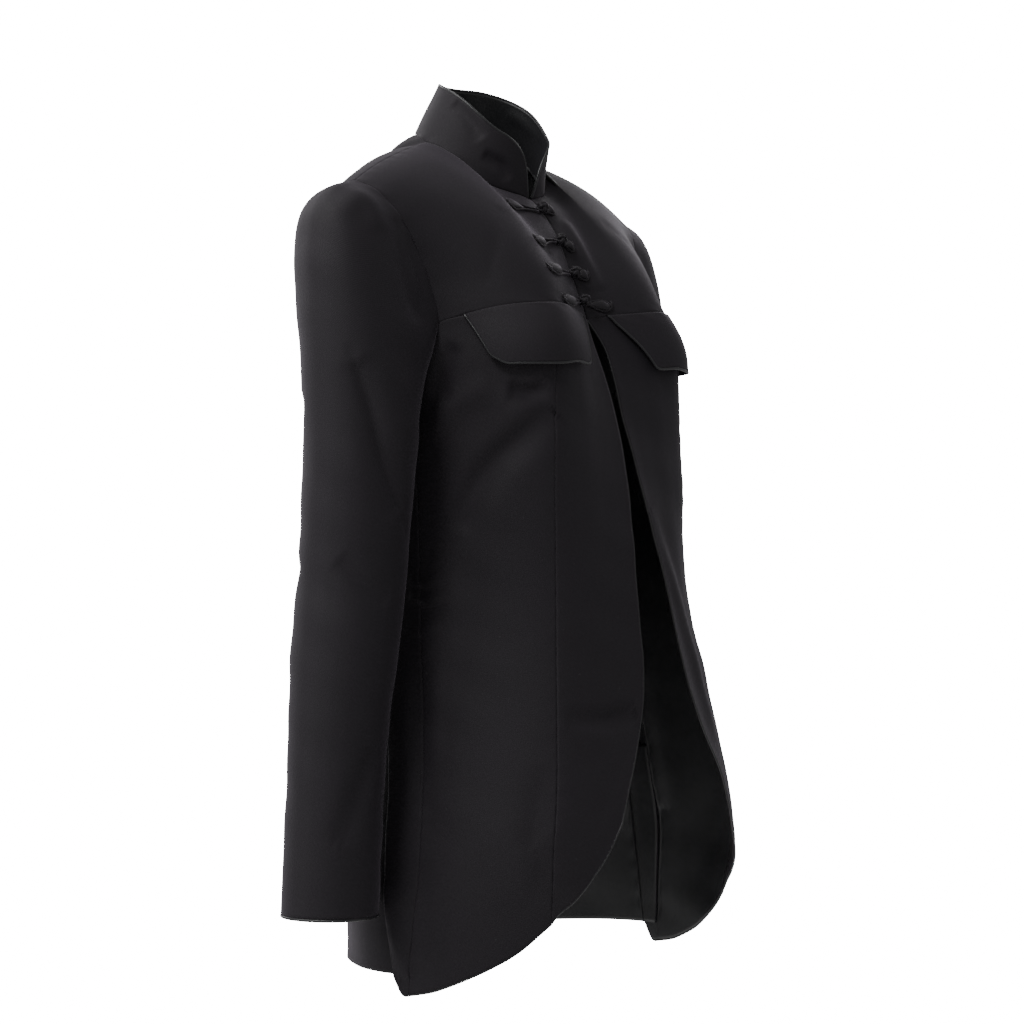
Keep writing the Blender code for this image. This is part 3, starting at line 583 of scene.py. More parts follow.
def crease_rise(points, out, crease):
    """How far one crease lifts or sinks each point."""
    line = np.array(crease.line) / 1000
    marks = walked(line)
    fine = np.linspace(0, marks[-1], CREASE_MARKS)
    path = through(line, marks, fine)
    run = unit(np.gradient(path, axis=0))
    apart = points[:, None, :] - path[None, :, :]
    far = np.linalg.norm(apart, axis=2)
    nearest = far.argmin(axis=1)
    pick = np.arange(len(points))
    side = np.cross(run[nearest], out)
    above = (apart[pick, nearest] * side).sum(axis=1) * np.sign(side[:, 2] + 1e-9) > 0
    q = far[pick, nearest] / (np.where(above, crease.above, crease.below) / 1000)
    t = fine[nearest] / marks[-1]
    fade = np.sqrt(np.clip(4 * t * (1 - t), 0, 1))
    depth = CREASE_DEPTH * crease.rise / 1000
    return depth * fade * (1 - CREASE_SHOULDER * q**2) * np.exp(-(q**2))


# Each laid piece's points and the way out at them, by its name, for the trim along its edges
LAID = {}

# The slight unevenness of pressed cloth that has been worn: waves in all directions, by their
# number, shortest and longest length, and height
RIPPLE_COUNT = 9
RIPPLE_LENGTHS = (0.035, 0.11)
RIPPLE_HEIGHT = 0.0006
SMALL_RIPPLE = 0.0003
RIPPLES = random.Random(7)
RIPPLE_WAVES = [
    (
        np.array([RIPPLES.uniform(-1, 1), RIPPLES.uniform(-1, 1), RIPPLES.uniform(-1, 1)])
        * 2 * math.pi / RIPPLES.uniform(*RIPPLE_LENGTHS),
        RIPPLES.uniform(0, 6.28),
        RIPPLES.uniform(0.5, 1.0),
    )
    for _ in range(RIPPLE_COUNT)
]
# Fine puckers of the stitching on both sides of a seam
PUCKER_WAVE = np.array([260.0, 190.0, 330.0])
PUCKER_HEIGHT = 0.00022
PUCKER_REACH = 0.006
PUCKER_START = 0.0012


def ripple(points, height):
    """How far the waves lift each point, the same on both sides of a seam."""
    total = sum(size * np.sin(points @ wave + turn) for wave, turn, size in RIPPLE_WAVES)
    return height * total / 3


def lay_cloth(name, rows, side, seams, cell=CELL, ripples=RIPPLE_HEIGHT):
    """The outer face of a cut piece, as a grid of points with its creases and seam valleys.

    The seams say how deep a valley each of its hem, top, start and end edges is sewn into.
    """
    coarse = np.array([[point[:] for point in row] for row in rows])
    for sewn, (edge, inner) in zip(seams, EDGES.values()):
        if sewn:
            coarse[edge] += unit(coarse[edge] - coarse[inner]) * SEAM_LAP
    hem, top, start, end = seams
    if side < 0:
        coarse = (coarse * (-1, 1, 1))[:, ::-1]
        start, end = end, start
    ups, acrosses = walked_along(coarse, 0), walked_along(coarse, 1)
    at_up = laid_places(ups[-1], hem, top, cell)
    at_across = laid_places(acrosses[-1], start, end, cell)
    grid = through(coarse, ups, at_up)
    grid = through(grid.transpose(1, 0, 2), acrosses, at_across).transpose(1, 0, 2)
    out = outward(grid)
    points = grid.reshape(-1, 3)
    rise = ripple(points, ripples)
    for crease in CREASES:
        if name.startswith(tuple(crease.pieces.split())):
            rise += crease_rise(points, out.reshape(-1, 3), crease)
    rise = rise.reshape(grid.shape[:2])
    near_seam = np.ones_like(rise)
    valley = np.zeros_like(rise)
    for depth, far in (
        (hem, at_up[:, None]),
        (top, ups[-1] - at_up[:, None]),
        (start, at_across[None, :]),
        (end, acrosses[-1] - at_across[None, :]),
    ):
        if depth:
            near_seam = np.minimum(near_seam, far)
            valley = np.maximum(valley, depth * np.exp(-((far / SEAM_HALF_WIDTH) ** 2)))
    rise -= SEAM_VALLEY * valley
    pucker = PUCKER_HEIGHT * np.sin(points @ PUCKER_WAVE).reshape(rise.shape)
    rise += pucker * np.exp(-((near_seam / PUCKER_REACH) ** 2)) * (near_seam > PUCKER_START)
    LAID[name] = (grid + out * rise[..., None], out)
    return LAID[name][0], at_across, at_up


# What each piece of cloth is cut to: the width and length of its block, and the area cut from it
Cut = namedtuple("Cut", "width length area")


def new_group(name, inputs, outputs):
    """An empty node group with its sockets: (name, kind, value) for inputs, (name, kind) for outputs."""
    group = bpy.data.node_groups.new(name, "ShaderNodeTree")
    for label, kind, value in inputs:
        socket = group.interface.new_socket(label, in_out="INPUT", socket_type=kind)
        if value is not None:
            socket.default_value = value
    for label, kind in outputs:
        group.interface.new_socket(label, in_out="OUTPUT", socket_type=kind)
    return group, group.nodes.new("NodeGroupInput"), group.nodes.new("NodeGroupOutput")


def feed(tree, socket, value):
    """Sets a socket to a number, or links another node's socket to it."""
    if isinstance(value, (int, float)):
        socket.default_value = value
    else:
        tree.links.new(value, socket)


def add_math(tree, operation, *values):
    """A Math node fed with numbers or sockets."""
    node = tree.nodes.new("ShaderNodeMath")
    node.operation = operation
    for socket, value in zip(node.inputs, values):
        feed(tree, socket, value)
    return node.outputs[0]


def add_noise(tree, vector, scale, detail, rough):
    """A noise whose scale is a number or a socket; it gives values about one half."""
    node = tree.nodes.new("ShaderNodeTexNoise")
    for label, value in (("Vector", vector), ("Scale", scale), ("Detail", detail), ("Roughness", rough)):
        feed(tree, node.inputs[label], value)
    return node.outputs["Fac"]


def add_mix(tree, factor, first, second):
    """Mixes a colour, or a colour socket, with another colour."""
    node = tree.nodes.new("ShaderNodeMix")
    node.data_type = "RGBA"
    feed(tree, node.inputs["Factor"], factor)
    if isinstance(first, tuple):
        node.inputs["A"].default_value = (*first, 1)
    else:
        tree.links.new(first, node.inputs["A"])
    node.inputs["B"].default_value = (*second, 1)
    return node.outputs["Result"]


def add_group(tree, group, place, **values):
    """Places a node group, reads it at the place, and sets its other inputs by name."""
    node = tree.nodes.new("ShaderNodeGroup")
    node.node_tree = group
    tree.links.new(place, node.inputs["Place"])
    for label, value in values.items():
        node.inputs[label].default_value = value
    return node.outputs


# The weave's slubs and how far they push the threads aside; the nap's fine share and its lint
SLUB_SCALE = 420.0
SLUB_PUSH = 6.0
FINE_SHARE = 0.5
LINT_SCALE = 330.0
LINT_RARE = 0.795


def make_weave():
    """Warp and weft of uneven threads: a height for bump and a mask for colour."""
    group, given, put = new_group(
        "weave",
        [
            ("Place", "NodeSocketVector", None),
            ("Threads", "NodeSocketFloat", 1600.0),
            ("Uneven", "NodeSocketFloat", 0.4),
        ],
        [("Height", "NodeSocketFloat"), ("Thread", "NodeSocketFloat")],
    )
    place = given.outputs["Place"]
    parts = group.nodes.new("ShaderNodeSeparateXYZ")
    group.links.new(place, parts.inputs[0])
    slub = add_noise(group, place, SLUB_SCALE, 3.0, 0.6)
    wobble = add_math(group, "MULTIPLY", slub, given.outputs["Uneven"])
    threads = []
    for axis in ("X", "Y"):
        turned = add_math(group, "MULTIPLY", parts.outputs[axis], given.outputs["Threads"])
        moved = add_math(group, "ADD", turned, add_math(group, "MULTIPLY", wobble, SLUB_PUSH))
        threads.append(add_math(group, "SINE", moved))
    crossed = add_math(group, "MULTIPLY", *threads)
    height = add_math(group, "MULTIPLY_ADD", crossed, 0.5, 0.5)
    uneven = add_math(group, "MULTIPLY", height, add_math(group, "ADD", slub, 0.4))
    group.links.new(uneven, put.inputs["Height"])
    group.links.new(height, put.inputs["Thread"])
    return group


def make_nap():
    """Brushed cloth: broad soft changes of tone, and the odd fleck of lint."""
    group, given, put = new_group(
        "nap",
        [
            ("Place", "NodeSocketVector", None),
            ("Broad", "NodeSocketFloat", 14.0),
            ("Fine", "NodeSocketFloat", 900.0),
        ],
        [("Tone", "NodeSocketFloat"), ("Lint", "NodeSocketFloat")],
    )
    place = given.outputs["Place"]
    broad = add_noise(group, place, given.outputs["Broad"], 3.0, 0.55)
    fine = add_noise(group, place, given.outputs["Fine"], 2.0, 0.6)
    both = add_math(group, "ADD", broad, add_math(group, "MULTIPLY", fine, FINE_SHARE))
    group.links.new(add_math(group, "MULTIPLY", both, 0.667), put.inputs["Tone"])
    fleck = add_math(group, "GREATER_THAN", add_noise(group, place, LINT_SCALE, 1.0, 0.5), LINT_RARE)
    group.links.new(fleck, put.inputs["Lint"])
    return group


# What the cloths share: the fleck's colour, the shares of thread and nap in the tone, how far the nap
# changes the roughness, the sheen, and how high a thread stands
LINT = (0.09, 0.09, 0.095)
THREAD_TONE = 0.25
NAP_TONE = 0.9
NAP_ROUGHNESS = 0.16
SHEEN_TINT = (0.76, 0.68, 0.80)
SHEEN_ROUGHNESS = 0.38
THREAD_HEIGHT = 0.0002


def make_cloth(name, dark, light, roughness, sheen, threads, bump, lint=0.0, specular=0.5, uneven=0.4):
    """A cloth of one colour: its weave on the piece's own grain, its nap over the whole jacket."""
    material = bpy.data.materials.new(name)
    material.use_nodes = True
    tree = material.node_tree
    shader = tree.nodes["Principled BSDF"]
    grain = tree.nodes.new("ShaderNodeUVMap")
    grain.uv_map = "grain"
    weave = add_group(tree, WEAVE, grain.outputs["UV"], Threads=threads, Uneven=uneven)
    nap = add_group(tree, NAP, tree.nodes.new("ShaderNodeTexCoord").outputs["Object"])
    worn = add_math(tree, "MULTIPLY", nap["Tone"], NAP_TONE)
    tone = add_math(tree, "MULTIPLY_ADD", weave["Thread"], THREAD_TONE, worn)
    colour = add_mix(tree, tone, dark, light)
    if lint:
        colour = add_mix(tree, add_math(tree, "MULTIPLY", nap["Lint"], lint), colour, LINT)
    rough = add_math(tree, "MULTIPLY_ADD", nap["Tone"], NAP_ROUGHNESS, roughness - NAP_ROUGHNESS / 2)
    raised = tree.nodes.new("ShaderNodeBump")
    raised.inputs["Strength"].default_value = bump
    raised.inputs["Distance"].default_value = THREAD_HEIGHT
    tree.links.new(weave["Height"], raised.inputs["Height"])
    tree.links.new(colour, shader.inputs["Base Color"])
    tree.links.new(rough, shader.inputs["Roughness"])
    tree.links.new(raised.outputs["Normal"], shader.inputs["Normal"])
    shader.inputs["Specular IOR Level"].default_value = specular
    shader.inputs["Sheen Weight"].default_value = sheen
    shader.inputs["Sheen Roughness"].default_value = SHEEN_ROUGHNESS
    shader.inputs["Sheen Tint"].default_value = (*SHEEN_TINT, 1)
    return material


WEAVE = make_weave()
NAP = make_nap()
WOOL = make_cloth(
    "wool_crepe", dark=(0.0066, 0.0050, 0.0071), light=(0.0146, 0.0114, 0.0158), roughness=0.72,
    sheen=0.17, threads=4200.0, bump=0.5, lint=0.15, specular=0.32,
)
LINING = make_cloth(
    "lining_satin", dark=(0.010, 0.010, 0.011), light=(0.020, 0.020, 0.022), roughness=0.42,
    sheen=0.05, threads=9000.0, bump=0.2,
)
SATIN = make_cloth(
    "satin", dark=(0.008, 0.008, 0.009), light=(0.018, 0.018, 0.020), roughness=0.34,
    sheen=0.05, threads=5200.0, bump=0.25, uneven=0.6,
)
CORD = make_cloth(
    "satin_cord", dark=(0.0075, 0.0062, 0.0078), light=(0.0175, 0.0150, 0.0182), roughness=0.60,
    sheen=0.22, threads=3600.0, bump=0.5, specular=0.3, uneven=0.8,
)


def add_piece(name, shape, *materials):
    """Makes a finished shape an object of its own."""
    mesh = bpy.data.meshes.new(name)
    shape.to_mesh(mesh)
    shape.free()
    mesh.shade_smooth()
    for material in materials:
        mesh.materials.append(material)
    piece = bpy.data.objects.new(name, mesh)
    bpy.context.scene.collection.objects.link(piece)
    return piece


def stand_for(piece, node):
    """The piece takes the place of a node of the solids, which is hidden."""
    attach(piece, "root")
    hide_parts(node)


def sew(name, node, laid, thickness=CLOTH, inside=LINING):
    """Makes the piece of cloth from its laid points: a flat grid moved to them, then given its wall."""
    grid, at_across, at_up = laid
    last_up, last_across = len(at_up) - 1, len(at_across) - 1
    shape = bmesh.new()
    bmesh.ops.create_grid(shape, x_segments=last_across, y_segments=last_up, size=1)
    grain = shape.loops.layers.uv.new("grain")
    for vertex in shape.verts:
        column = round((vertex.co.x + 1) / 2 * last_across)
        row = round((vertex.co.y + 1) / 2 * last_up)
        vertex.co = grid[row, column]
        for loop in vertex.link_loops:
            loop[grain].uv = (at_across[column], at_up[row])
    piece = add_piece(name, shape, WOOL, inside)
    wall = piece.modifiers.new("Wall", "SOLIDIFY")
    wall.thickness = thickness
    wall.offset = -1
    wall.material_offset = 1
    bpy.ops.object.select_all(action="DESELECT")
    bpy.context.view_layer.objects.active = piece
    piece.select_set(True)
    bpy.ops.object.modifier_apply(modifier=wall.name)
    stand_for(piece, node)


def cut_out(kind, name, rows, side, seams, inside=LINING, **laying):
    """Lays and sews a piece of one side of the jacket."""
    piece = f"{kind}_{name}"
    laid = lay_cloth(piece, rows, side, seams, **laying)
    sew(f"{piece}_cloth", piece, laid, inside=inside)


SIDES = (("left", 1), ("right", -1))


def add_body_panels():
    for name, side in SIDES:
        for kind, ways, seams in (
            ("centre_front", FRONT_WAYS, (0, 1, 0, 1)),
            ("side_front", SIDE_FRONT_WAYS, (0, 1, 1, 1)),
            ("side_panel", SIDE_WAYS, (0, 1, 1, 1)),
        ):
            rows = [[down_body(way, k / BODY_ROWS) for way in ways] for k in range(BODY_ROWS + 1)]
            cut_out(kind, name, rows, side, seams)
        heights = back_heights()
        shares = BACK_SHARES[::-1]
        rows = [[back(share, z) for share in shares] for z in heights]
        rows += [[upper_back(share, up) for share in shares] for up in YOKE_UPS[1:]]
        cut_out("back", name, rows, side, (0, SHOULDER_SEAM, ARMHOLE_SEAM, 1))
        step = VENT_UNDERLAP / (CENTRE_BACK - VENT)
        shares = [1 + step * k / UNDERLAP_COLUMNS for k in range(UNDERLAP_COLUMNS, -1, -1)]
        rows = [[back(share, z) for share in shares] for z in heights[: VENT_ROWS + 1]]
        laid = lay_cloth(f"back_{name}_underlap", rows, side, (0, 0, 0, 0))
        sew(f"vent_underlap_{name}", f"back_{name}", laid)
        rows = [[yoke(share, up) for share in YOKE_SHARES] for up in YOKE_UPS]
        cut_out("front_yoke", name, rows, side, (1, SHOULDER_SEAM, 0, ARMHOLE_SEAM))


def add_sleeves():
    count = len(armhole_loop())
    for name, side in SIDES:
        for kind, first, last, start, end in (
            ("upper_sleeve", HIND_SEAM_STEP - count, FORE_SEAM_STEP, HIND_SEAM_TURN - 360, FORE_SEAM_TURN),
            ("under_sleeve", FORE_SEAM_STEP, HIND_SEAM_STEP, FORE_SEAM_TURN, HIND_SEAM_TURN),
        ):
            steps = list(range(first, last + 1))
            turns = [
                math.radians(start + (end - start) * (step - first) / (last - first)) for step in steps
            ]
            rows = [row[::-1] for row in sleeve_rows(steps, turns, side)]
            cut_out(kind, name, rows, side, (0, ARMHOLE_SEAM, 1, 1))


def add_collar():
    rows = []
    for k in range(COLLAR_ROWS + 1):
        left = [collar(angle, k / COLLAR_ROWS) for angle in collar_angles()]
        rows.append(left + [Vector((-p.x, p.y, p.z)) for p in reversed(left[:-1])])
    laid = lay_cloth("collar", rows, 1, (1, 0, 0, 0), cell=COLLAR_CELL, ripples=SMALL_RIPPLE)
    sew("collar_cloth", "collar", laid, thickness=COLLAR_CLOTH)


def flap_place(along, down, step_along=0.02, step_down=0.05):
    """A point of the flap, puffed up over its wadding, with its outer corner rounded off."""
    from_end = (1 - along) / FLAP_ROUNDING
    if from_end < 1:
        down *= 1 - FLAP_CORNER_RISE * (1 - math.sqrt(1 - (1 - from_end) ** 2))
    down *= 1 - FLAP_DIP * math.exp(-(((along - FLAP_DIP_AT) / FLAP_DIP_WIDTH) ** 2))
    across = (flap(min(along + step_along, 1), down) - flap(along - step_along, down)).normalized()
    rise = (flap(along, down - step_down) - flap(along, down)).normalized()
    swell = math.sin(math.pi * min(max(along, step_along), 1 - step_along)) ** PUFF_SQUARE_ALONG
    puff = FLAP_PUFF * swell * math.sin(math.pi * down * PUFF_FOOT) ** PUFF_SQUARE_DOWN
    return flap(along, down) + across.cross(rise) * puff


def add_flaps():
    columns, rows = 2 * FLAP_COLUMNS, 2 * FLAP_ROWS
    for name, side in SIDES:
        places = [
            [flap_place(column / columns, 1 - row / rows) for column in range(columns + 1)]
            for row in range(rows + 1)
        ]
        cut_out("flap", name, places, side, (0, 1, 0, 0), SATIN, cell=FLAP_CELL, ripples=SMALL_RIPPLE)


def edge_line(name, edge, reach, wall=CLOTH):
    """The line that a cord takes along one edge of a laid piece, past its cut edge by the reach."""
    grid, out = LAID[name]
    at, inner = EDGES[edge]
    return grid[at] - out[at] * wall / 2 + unit(grid[at] - grid[inner]) * reach


def walk(lines, step, closed=False, least=1e-4):
    """One line through several, in even steps, softened a little where they meet."""
    line = np.concatenate(lines)
    line = line[np.concatenate([[True], np.linalg.norm(np.diff(line, axis=0), axis=1) > least])]
    if closed:
        line = np.concatenate([line, line[:1]])
    far = walked(line)
    at = np.linspace(0, far[-1], max(4, round(far[-1] / step)) + 1)
    line = np.stack([np.interp(at, far, line[:, k]) for k in range(3)], axis=1)
    if closed:
        line = line[:-1]
        return (np.roll(line, 1, axis=0) + 2 * line + np.roll(line, -1, axis=0)) / 4
    line[1:-1] = (line[:-2] + 2 * line[1:-1] + line[2:]) / 4
    return line


def close_rings(shape, grain, rings, uvs, closed=False):
    """Joins rings of points into a tube; the uvs give a point's place on the cord, by ring and turn."""
    count = len(rings)
    around = len(rings[0])
    for a in range(count if closed else count - 1):
        near, far = rings[a], rings[(a + 1) % count]
        for j in range(around):
            following = (j + 1) % around
            face = shape.faces.new((near[j], near[following], far[following], far[j]))
            places = ((j, a), (j + 1, a), (j + 1, a + 1), (j, a + 1))
            for loop, (about, ring) in zip(face.loops, places):
                loop[grain].uv = uvs(about, ring)
    if not closed:
        shape.faces.new(rings[0][::-1])
        shape.faces.new(rings[-1])


def wind_cord(shape, grain, line, radii, closed=False, around=8):
    """Adds a round cord along a line to a mesh: rings that don't twist, its ends closed."""
    line = np.asarray(line, float)
    count = len(line)
    if closed:
        run = unit(np.roll(line, -1, axis=0) - np.roll(line, 1, axis=0))
    else:
        run = unit(np.gradient(line, axis=0))
    aside = unit(np.cross(run[0], (0.31, 0.27, 0.91)))
    asides = []
    for way in run:
        aside = unit(aside - way * (aside @ way))
        asides.append(aside)
    turn = 0.0
    if closed:
        last = asides[-1] - run[0] * (asides[-1] @ run[0])
        turn = math.atan2(np.cross(last, asides[0]) @ run[0], last @ asides[0]) / count
    radii = np.broadcast_to(radii, (count,))
    rings = []
    for k in range(count):
        up = np.cross(run[k], asides[k])
        spins = [turn * k + 2 * math.pi * j / around for j in range(around)]
        rings.append([
            shape.verts.new(line[k] + radii[k] * (asides[k] * math.cos(spin) + up * math.sin(spin)))
            for spin in spins
        ])
    far = walked(np.concatenate([line, line[:1]]))
    girth = 2 * math.pi * float(np.mean(radii))
    close_rings(shape, grain, rings, lambda about, ring: (girth * about / around, far[ring]), closed)


def new_trim():
    """An empty mesh for trim, with the layer that holds the cord's grain."""
    shape = bmesh.new()
    return shape, shape.loops.layers.uv.new("grain")


def finish_trim(name, node, shape, finish):
    """Turns the faces of a piece of trim outwards and puts it in its node's place."""
    bmesh.ops.recalc_face_normals(shape, faces=shape.faces)
    stand_for(add_piece(name, shape, finish), node)


# Piping: its diameter, how far it lies past the edge and how thick it is, as shares of the diameter,
# and how far apart its rings are
Piping = namedtuple("Piping", "size reach radius step")
EDGE_CORD = Piping(EDGE_PIPING, 0.3, 0.62, 0.0025)
FLAP_CORD = Piping(PIPING, 0.22, 0.46, 0.00175)
CUFF_CORD = Piping(PIPING, 0.3, 0.5, 0.0025)
COLLAR_CORD = Piping(PIPING, 0.2, 0.46, 0.0020)


def add_piping(name, cord, lines, closed=False):
    """Sews one piping along lines that follow each other."""
    shape, grain = new_trim()
    wind_cord(shape, grain, walk(lines, cord.step, closed), cord.size * cord.radius, closed)
    finish_trim(f"{name}_cord", name, shape, SATIN)


def bound_edges(name, cord, far_edge, wall=CLOTH):
    """The lines of a cord round three edges of a piece: its start, the far edge and its end."""
    reach = cord.size * cord.reach
    start, far, end = (edge_line(name, edge, reach, wall) for edge in ("start", far_edge, "end"))
    if far_edge == "hem":
        return [start[::-1][:-1], far[1:-1], end[1:]]
    return [start[1:-1], far[1:-1], end[::-1][1:-1]]


def add_pipings():
    for name, side in SIDES:
        reach = EDGE_CORD.size * EDGE_CORD.reach
        front = edge_line(f"centre_front_{name}", "start" if side > 0 else "end", reach)
        hems = [edge_line(f"{part}_{name}", "hem", reach)[::side] for part in
                ("centre_front", "side_front", "side_panel")]
        add_piping(f"edge_piping_{name}", EDGE_CORD, [front[::-1][1:-1]] + hems)
        add_piping(f"flap_piping_{name}", FLAP_CORD, bound_edges(f"flap_{name}", FLAP_CORD, "hem"))
        reach = CUFF_CORD.size * CUFF_CORD.reach
        ring = np.concatenate([edge_line(f"{part}_{name}", "hem", reach) for part in
                               ("upper_sleeve", "under_sleeve")])
        middle = ring.mean(axis=0)
        ring = ring[np.argsort(np.arctan2(ring[:, 1] - middle[1], ring[:, 0] - middle[0]))]
        add_piping(f"cuff_piping_{name}", CUFF_CORD, [ring], closed=True)
    add_piping("collar_piping", COLLAR_CORD, bound_edges("collar", COLLAR_CORD, "top", COLLAR_CLOTH))


def on_yoke(across, z, lift, step=0.01, halvings=16):
    """A point of the front yoke at a height, lifted off its outer face."""
    low, high = 0.0, 1.0
    for _ in range(halvings):
        up = (low + high) / 2
        if yoke(across, up).z < z:
            low = up
        else:
            high = up
    along = yoke(across + step, up) - yoke(across - step, up)
    rise = yoke(across, up + step) - yoke(across, up - step)
    return yoke(across, up) + along.cross(rise).normalized() * lift


# A frog's leaf: how far along it each mark is, how wide its outer cord lies there to each side, its
# tip that curls up, and the pad in its middle
LEAF_MARKS = [0.0, 0.18, 0.34, 0.50, 0.66, 0.80, 0.91, 0.97]
LEAF_WIDTHS = [0.0011, 0.0012, 0.0022, 0.0036, 0.0044, 0.0039, 0.0020, 0.0004]
LEAF_POINTS = 13
LEAF_START = -0.03
LEAF_RISEN = 0.6
LEAF_CORD = 0.00095
LEAF_GAP = 0.0003
LEAF_CURL = [(0.88, 0.0000), (0.95, 0.0006), (0.99, 0.0018), (1.01, 0.0034), (1.00, 0.0048)]
CURL_RADII = [0.0011, 0.0010, 0.0009, 0.0007, 0.0004]
CURL_GAP = 0.0005
PAD_FROM, PAD_TO = 0.28, 0.94
PAD_RINGS = 9
PAD_AROUND = 10
PAD_HEIGHT = 0.0021
PAD_INSET = 0.0004
PAD_GAP = 0.0005
PAD_GRAIN = 0.0025
PAD_LEAD = 0.35
# A button: the ball that its cord is wound on, and the cord's way round it
KNOT_PATH = 0.0040
KNOT_WEAVE = 0.0005
KNOT_CORD = 0.0013
KNOT_LEADS = 3
KNOT_BIGHTS = 5
KNOT_TILT = 1.02
KNOT_STEPS = 150


def leaf_width(share):
    """How wide a leaf's outer cord lies at a share of its length."""
    return smooth(list(zip(LEAF_MARKS, LEAF_WIDTHS)), min(max(share, 0), LEAF_MARKS[-1]))


def make_leaf(name, node, frog, side, start, end):
    """One leaf: a doubled cord that opens round a wadded pad of satin, and a tip that curls up."""
    def at(share, aside, lift):
        z = frog.z + frog.rise * ease(share / LEAF_RISEN) + aside
        point = on_yoke(start + (end - start) * share, z, lift)
        return (point.x * side, point.y, point.z)

    shape, grain = new_trim()
    shares = np.linspace(LEAF_START, LEAF_MARKS[-1], LEAF_POINTS)
    around = [(share, -leaf_width(share)) for share in shares]
    around += [(share, leaf_width(share)) for share in shares[::-1]]
    outline = [at(share, aside, LEAF_CORD + LEAF_GAP) for share, aside in around]
    wind_cord(shape, grain, outline, LEAF_CORD)
    curl = [at(share, aside, LEAF_CORD + CURL_GAP) for share, aside in LEAF_CURL]
    wind_cord(shape, grain, curl, CURL_RADII)
    rings = []
    for k in range(PAD_RINGS):
        share = PAD_FROM + (PAD_TO - PAD_FROM) * k / (PAD_RINGS - 1)
        swell = math.sin(math.pi * (k + PAD_LEAD) / (PAD_RINGS - 1 + 2 * PAD_LEAD))
        width = max(leaf_width(share) - PAD_INSET, PAD_INSET)
        ring = []
        for j in range(PAD_AROUND):
            turn = 2 * math.pi * j / PAD_AROUND
            lift = PAD_GAP + PAD_HEIGHT * swell * (1 + math.sin(turn))
            ring.append(shape.verts.new(at(share, width * math.cos(turn), lift)))
        rings.append(ring)
    close_rings(shape, grain, rings, lambda about, ring: (about * PAD_GRAIN, ring * PAD_GRAIN))
    finish_trim(name, node, shape, CORD)


def knot_line(middle, turn):
    """The cord of a knotted button, woven over and under itself round a ball."""
    line = []
    for k in range(KNOT_STEPS):
        t = 2 * math.pi * k / KNOT_STEPS
        height = KNOT_TILT * math.cos(KNOT_BIGHTS * t)
        reach = KNOT_PATH + KNOT_WEAVE * math.sin(2 * KNOT_BIGHTS * t)
        about = KNOT_LEADS * t + turn
        x = middle.x + reach * math.cos(height) * math.cos(about)
        z = middle.z + reach * math.cos(height) * math.sin(about)
        line.append((x, middle.y - reach * math.sin(height), z))
    return line


def add_frogs():
    for number, frog in enumerate(FROGS, 1):
        knot = on_yoke(frog.knot, frog.z, FROG_KNOT / 2 + KNOT_GAP)
        knot.x = -knot.x
        shape, grain = new_trim()
        bmesh.ops.create_icosphere(shape, subdivisions=3, radius=KNOT_PATH)
        bmesh.ops.translate(shape, verts=shape.verts, vec=knot)
        wind_cord(shape, grain, knot_line(knot, number), KNOT_CORD, closed=True)
        finish_trim(f"frog_{number}_button", f"frog_{number}_knot", shape, CORD)
        for name, side, start, end in (
            ("left", 1, LEFT_START, frog.left_end),
            ("right", -1, frog.right_start, frog.right_end),
        ):
            make_leaf(f"frog_{number}_leaf_{name}", f"frog_{number}_tail_{name}", frog, side, start, end)


# The studio: the white backdrop as the camera sees it, the light that it gives, the lamps, the floor
# that fades out, and the camera
BACKDROP_GLOW = 20.0
ROOM_LIGHT = 0.35
Lamp = namedtuple("Lamp", "name place size power")
LAMPS = [
    Lamp("high_softbox", (-2.05, -0.05, 1.8), 0.9, 38),
    Lamp("top_softbox", (-0.9, 0.9, 1.8), 1.3, 22),
    Lamp("far_softbox", (0.5, 2.3, 0.7), 1.5, 18),
    Lamp("right_softbox", (2.2, 0.9, 0.9), 1.3, 14),
    Lamp("left_softbox", (-2.1, 1.3, 0.5), 1.2, 16),
]
LAMPS_AIM = Vector((0, -0.05, -0.25))
FLOOR_Z = -1.36
FLOOR_RADIUS = 3.4
FLOOR_FADE = (1.2, 3.3)
FLOOR_PAPER = (0.86, 0.86, 0.86)
CAMERA_PLACE = (-2.0616, -1.4668, -0.268)
CAMERA_TURN = (90, 0, -55)
CAMERA_LENS = 103.4


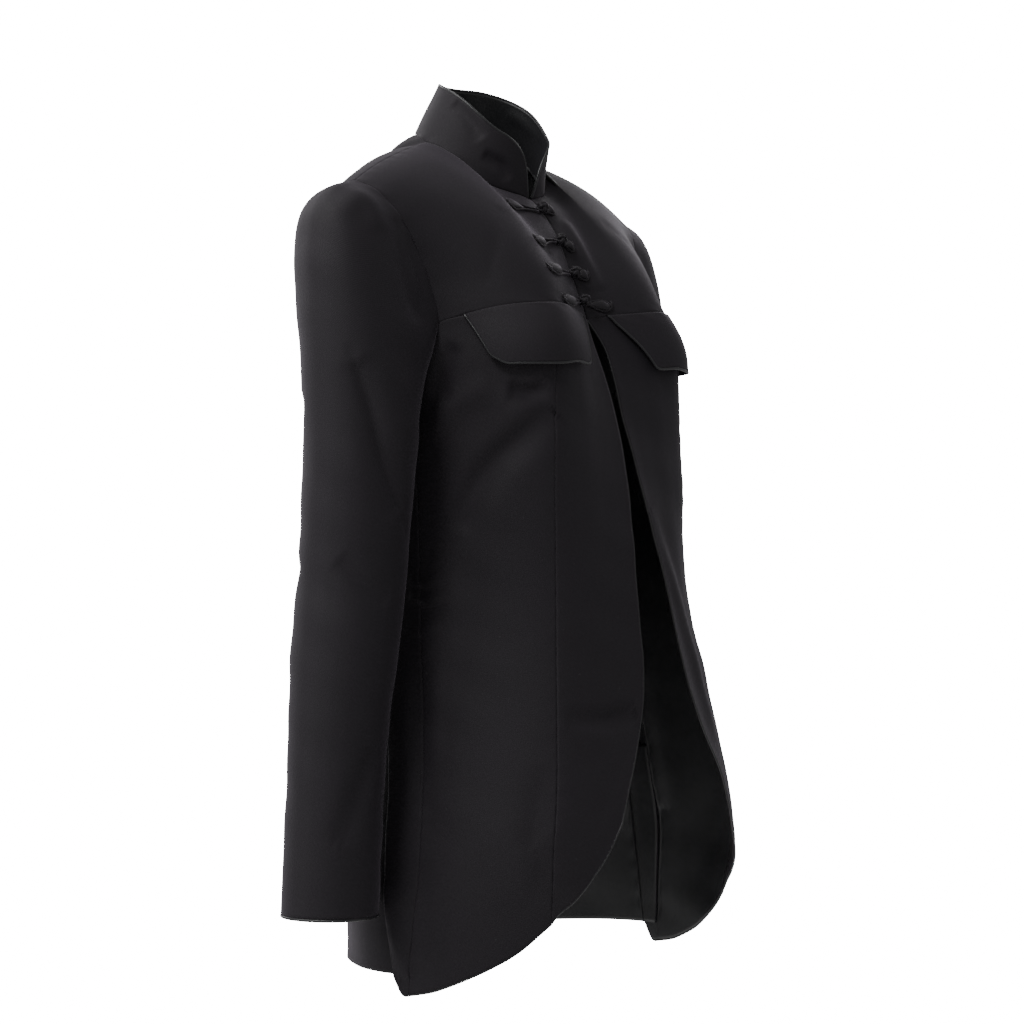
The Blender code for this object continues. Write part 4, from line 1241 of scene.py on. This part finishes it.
def add_floor():
    """A round sheet of pale paper that fades out towards its edge."""
    shape = bmesh.new()
    bmesh.ops.create_circle(shape, cap_ends=True, segments=96, radius=FLOOR_RADIUS)
    mesh = bpy.data.meshes.new("floor")
    shape.to_mesh(mesh)
    shape.free()
    floor = bpy.data.objects.new("floor", mesh)
    floor.location = (0, 0, FLOOR_Z)
    bpy.context.scene.collection.objects.link(floor)
    paper = bpy.data.materials.new("pale_floor")
    paper.use_nodes = True
    tree = paper.node_tree
    shader = tree.nodes["Principled BSDF"]
    shader.inputs["Base Color"].default_value = (*FLOOR_PAPER, 1)
    shader.inputs["Roughness"].default_value = 0.9
    far = tree.nodes.new("ShaderNodeVectorMath")
    far.operation = "LENGTH"
    tree.links.new(tree.nodes.new("ShaderNodeTexCoord").outputs["Object"], far.inputs[0])
    fade = tree.nodes.new("ShaderNodeMapRange")
    fade.interpolation_type = "SMOOTHSTEP"
    for label, value in zip(("From Min", "From Max", "To Min", "To Max"), (*FLOOR_FADE, 1, 0)):
        fade.inputs[label].default_value = value
    tree.links.new(far.outputs["Value"], fade.inputs["Value"])
    tree.links.new(fade.outputs["Result"], shader.inputs["Alpha"])
    mesh.materials.append(paper)


def add_light():
    """A white room that the camera sees brighter than it shines, and the softboxes."""
    world = bpy.data.worlds.new("studio")
    bpy.context.scene.world = world
    world.use_nodes = True
    tree = world.node_tree
    light = tree.nodes["Background"]
    light.inputs["Color"].default_value = (1, 1, 1, 1)
    seen = tree.nodes.new("ShaderNodeLightPath").outputs["Is Camera Ray"]
    strength = add_math(tree, "MULTIPLY_ADD", seen, BACKDROP_GLOW - ROOM_LIGHT, ROOM_LIGHT)
    tree.links.new(strength, light.inputs["Strength"])
    for lamp in LAMPS:
        data = bpy.data.lights.new(lamp.name, "AREA")
        data.shape = "DISK"
        data.size = lamp.size
        data.energy = lamp.power
        softbox = bpy.data.objects.new(lamp.name, data)
        softbox.location = lamp.place
        softbox.rotation_euler = (LAMPS_AIM - Vector(lamp.place)).to_track_quat("-Z", "Y").to_euler()
        bpy.context.scene.collection.objects.link(softbox)


def add_camera():
    camera = bpy.data.objects.new("camera", bpy.data.cameras.new("camera"))
    camera.data.lens = CAMERA_LENS
    camera.data.sensor_width = 36
    camera.location = CAMERA_PLACE
    camera.rotation_euler = [math.radians(turn) for turn in CAMERA_TURN]
    bpy.context.scene.collection.objects.link(camera)
    bpy.context.scene.camera = camera


add_body_panels()
add_sleeves()
add_collar()
add_flaps()
add_pipings()
add_frogs()
add_floor()
add_light()
add_camera()
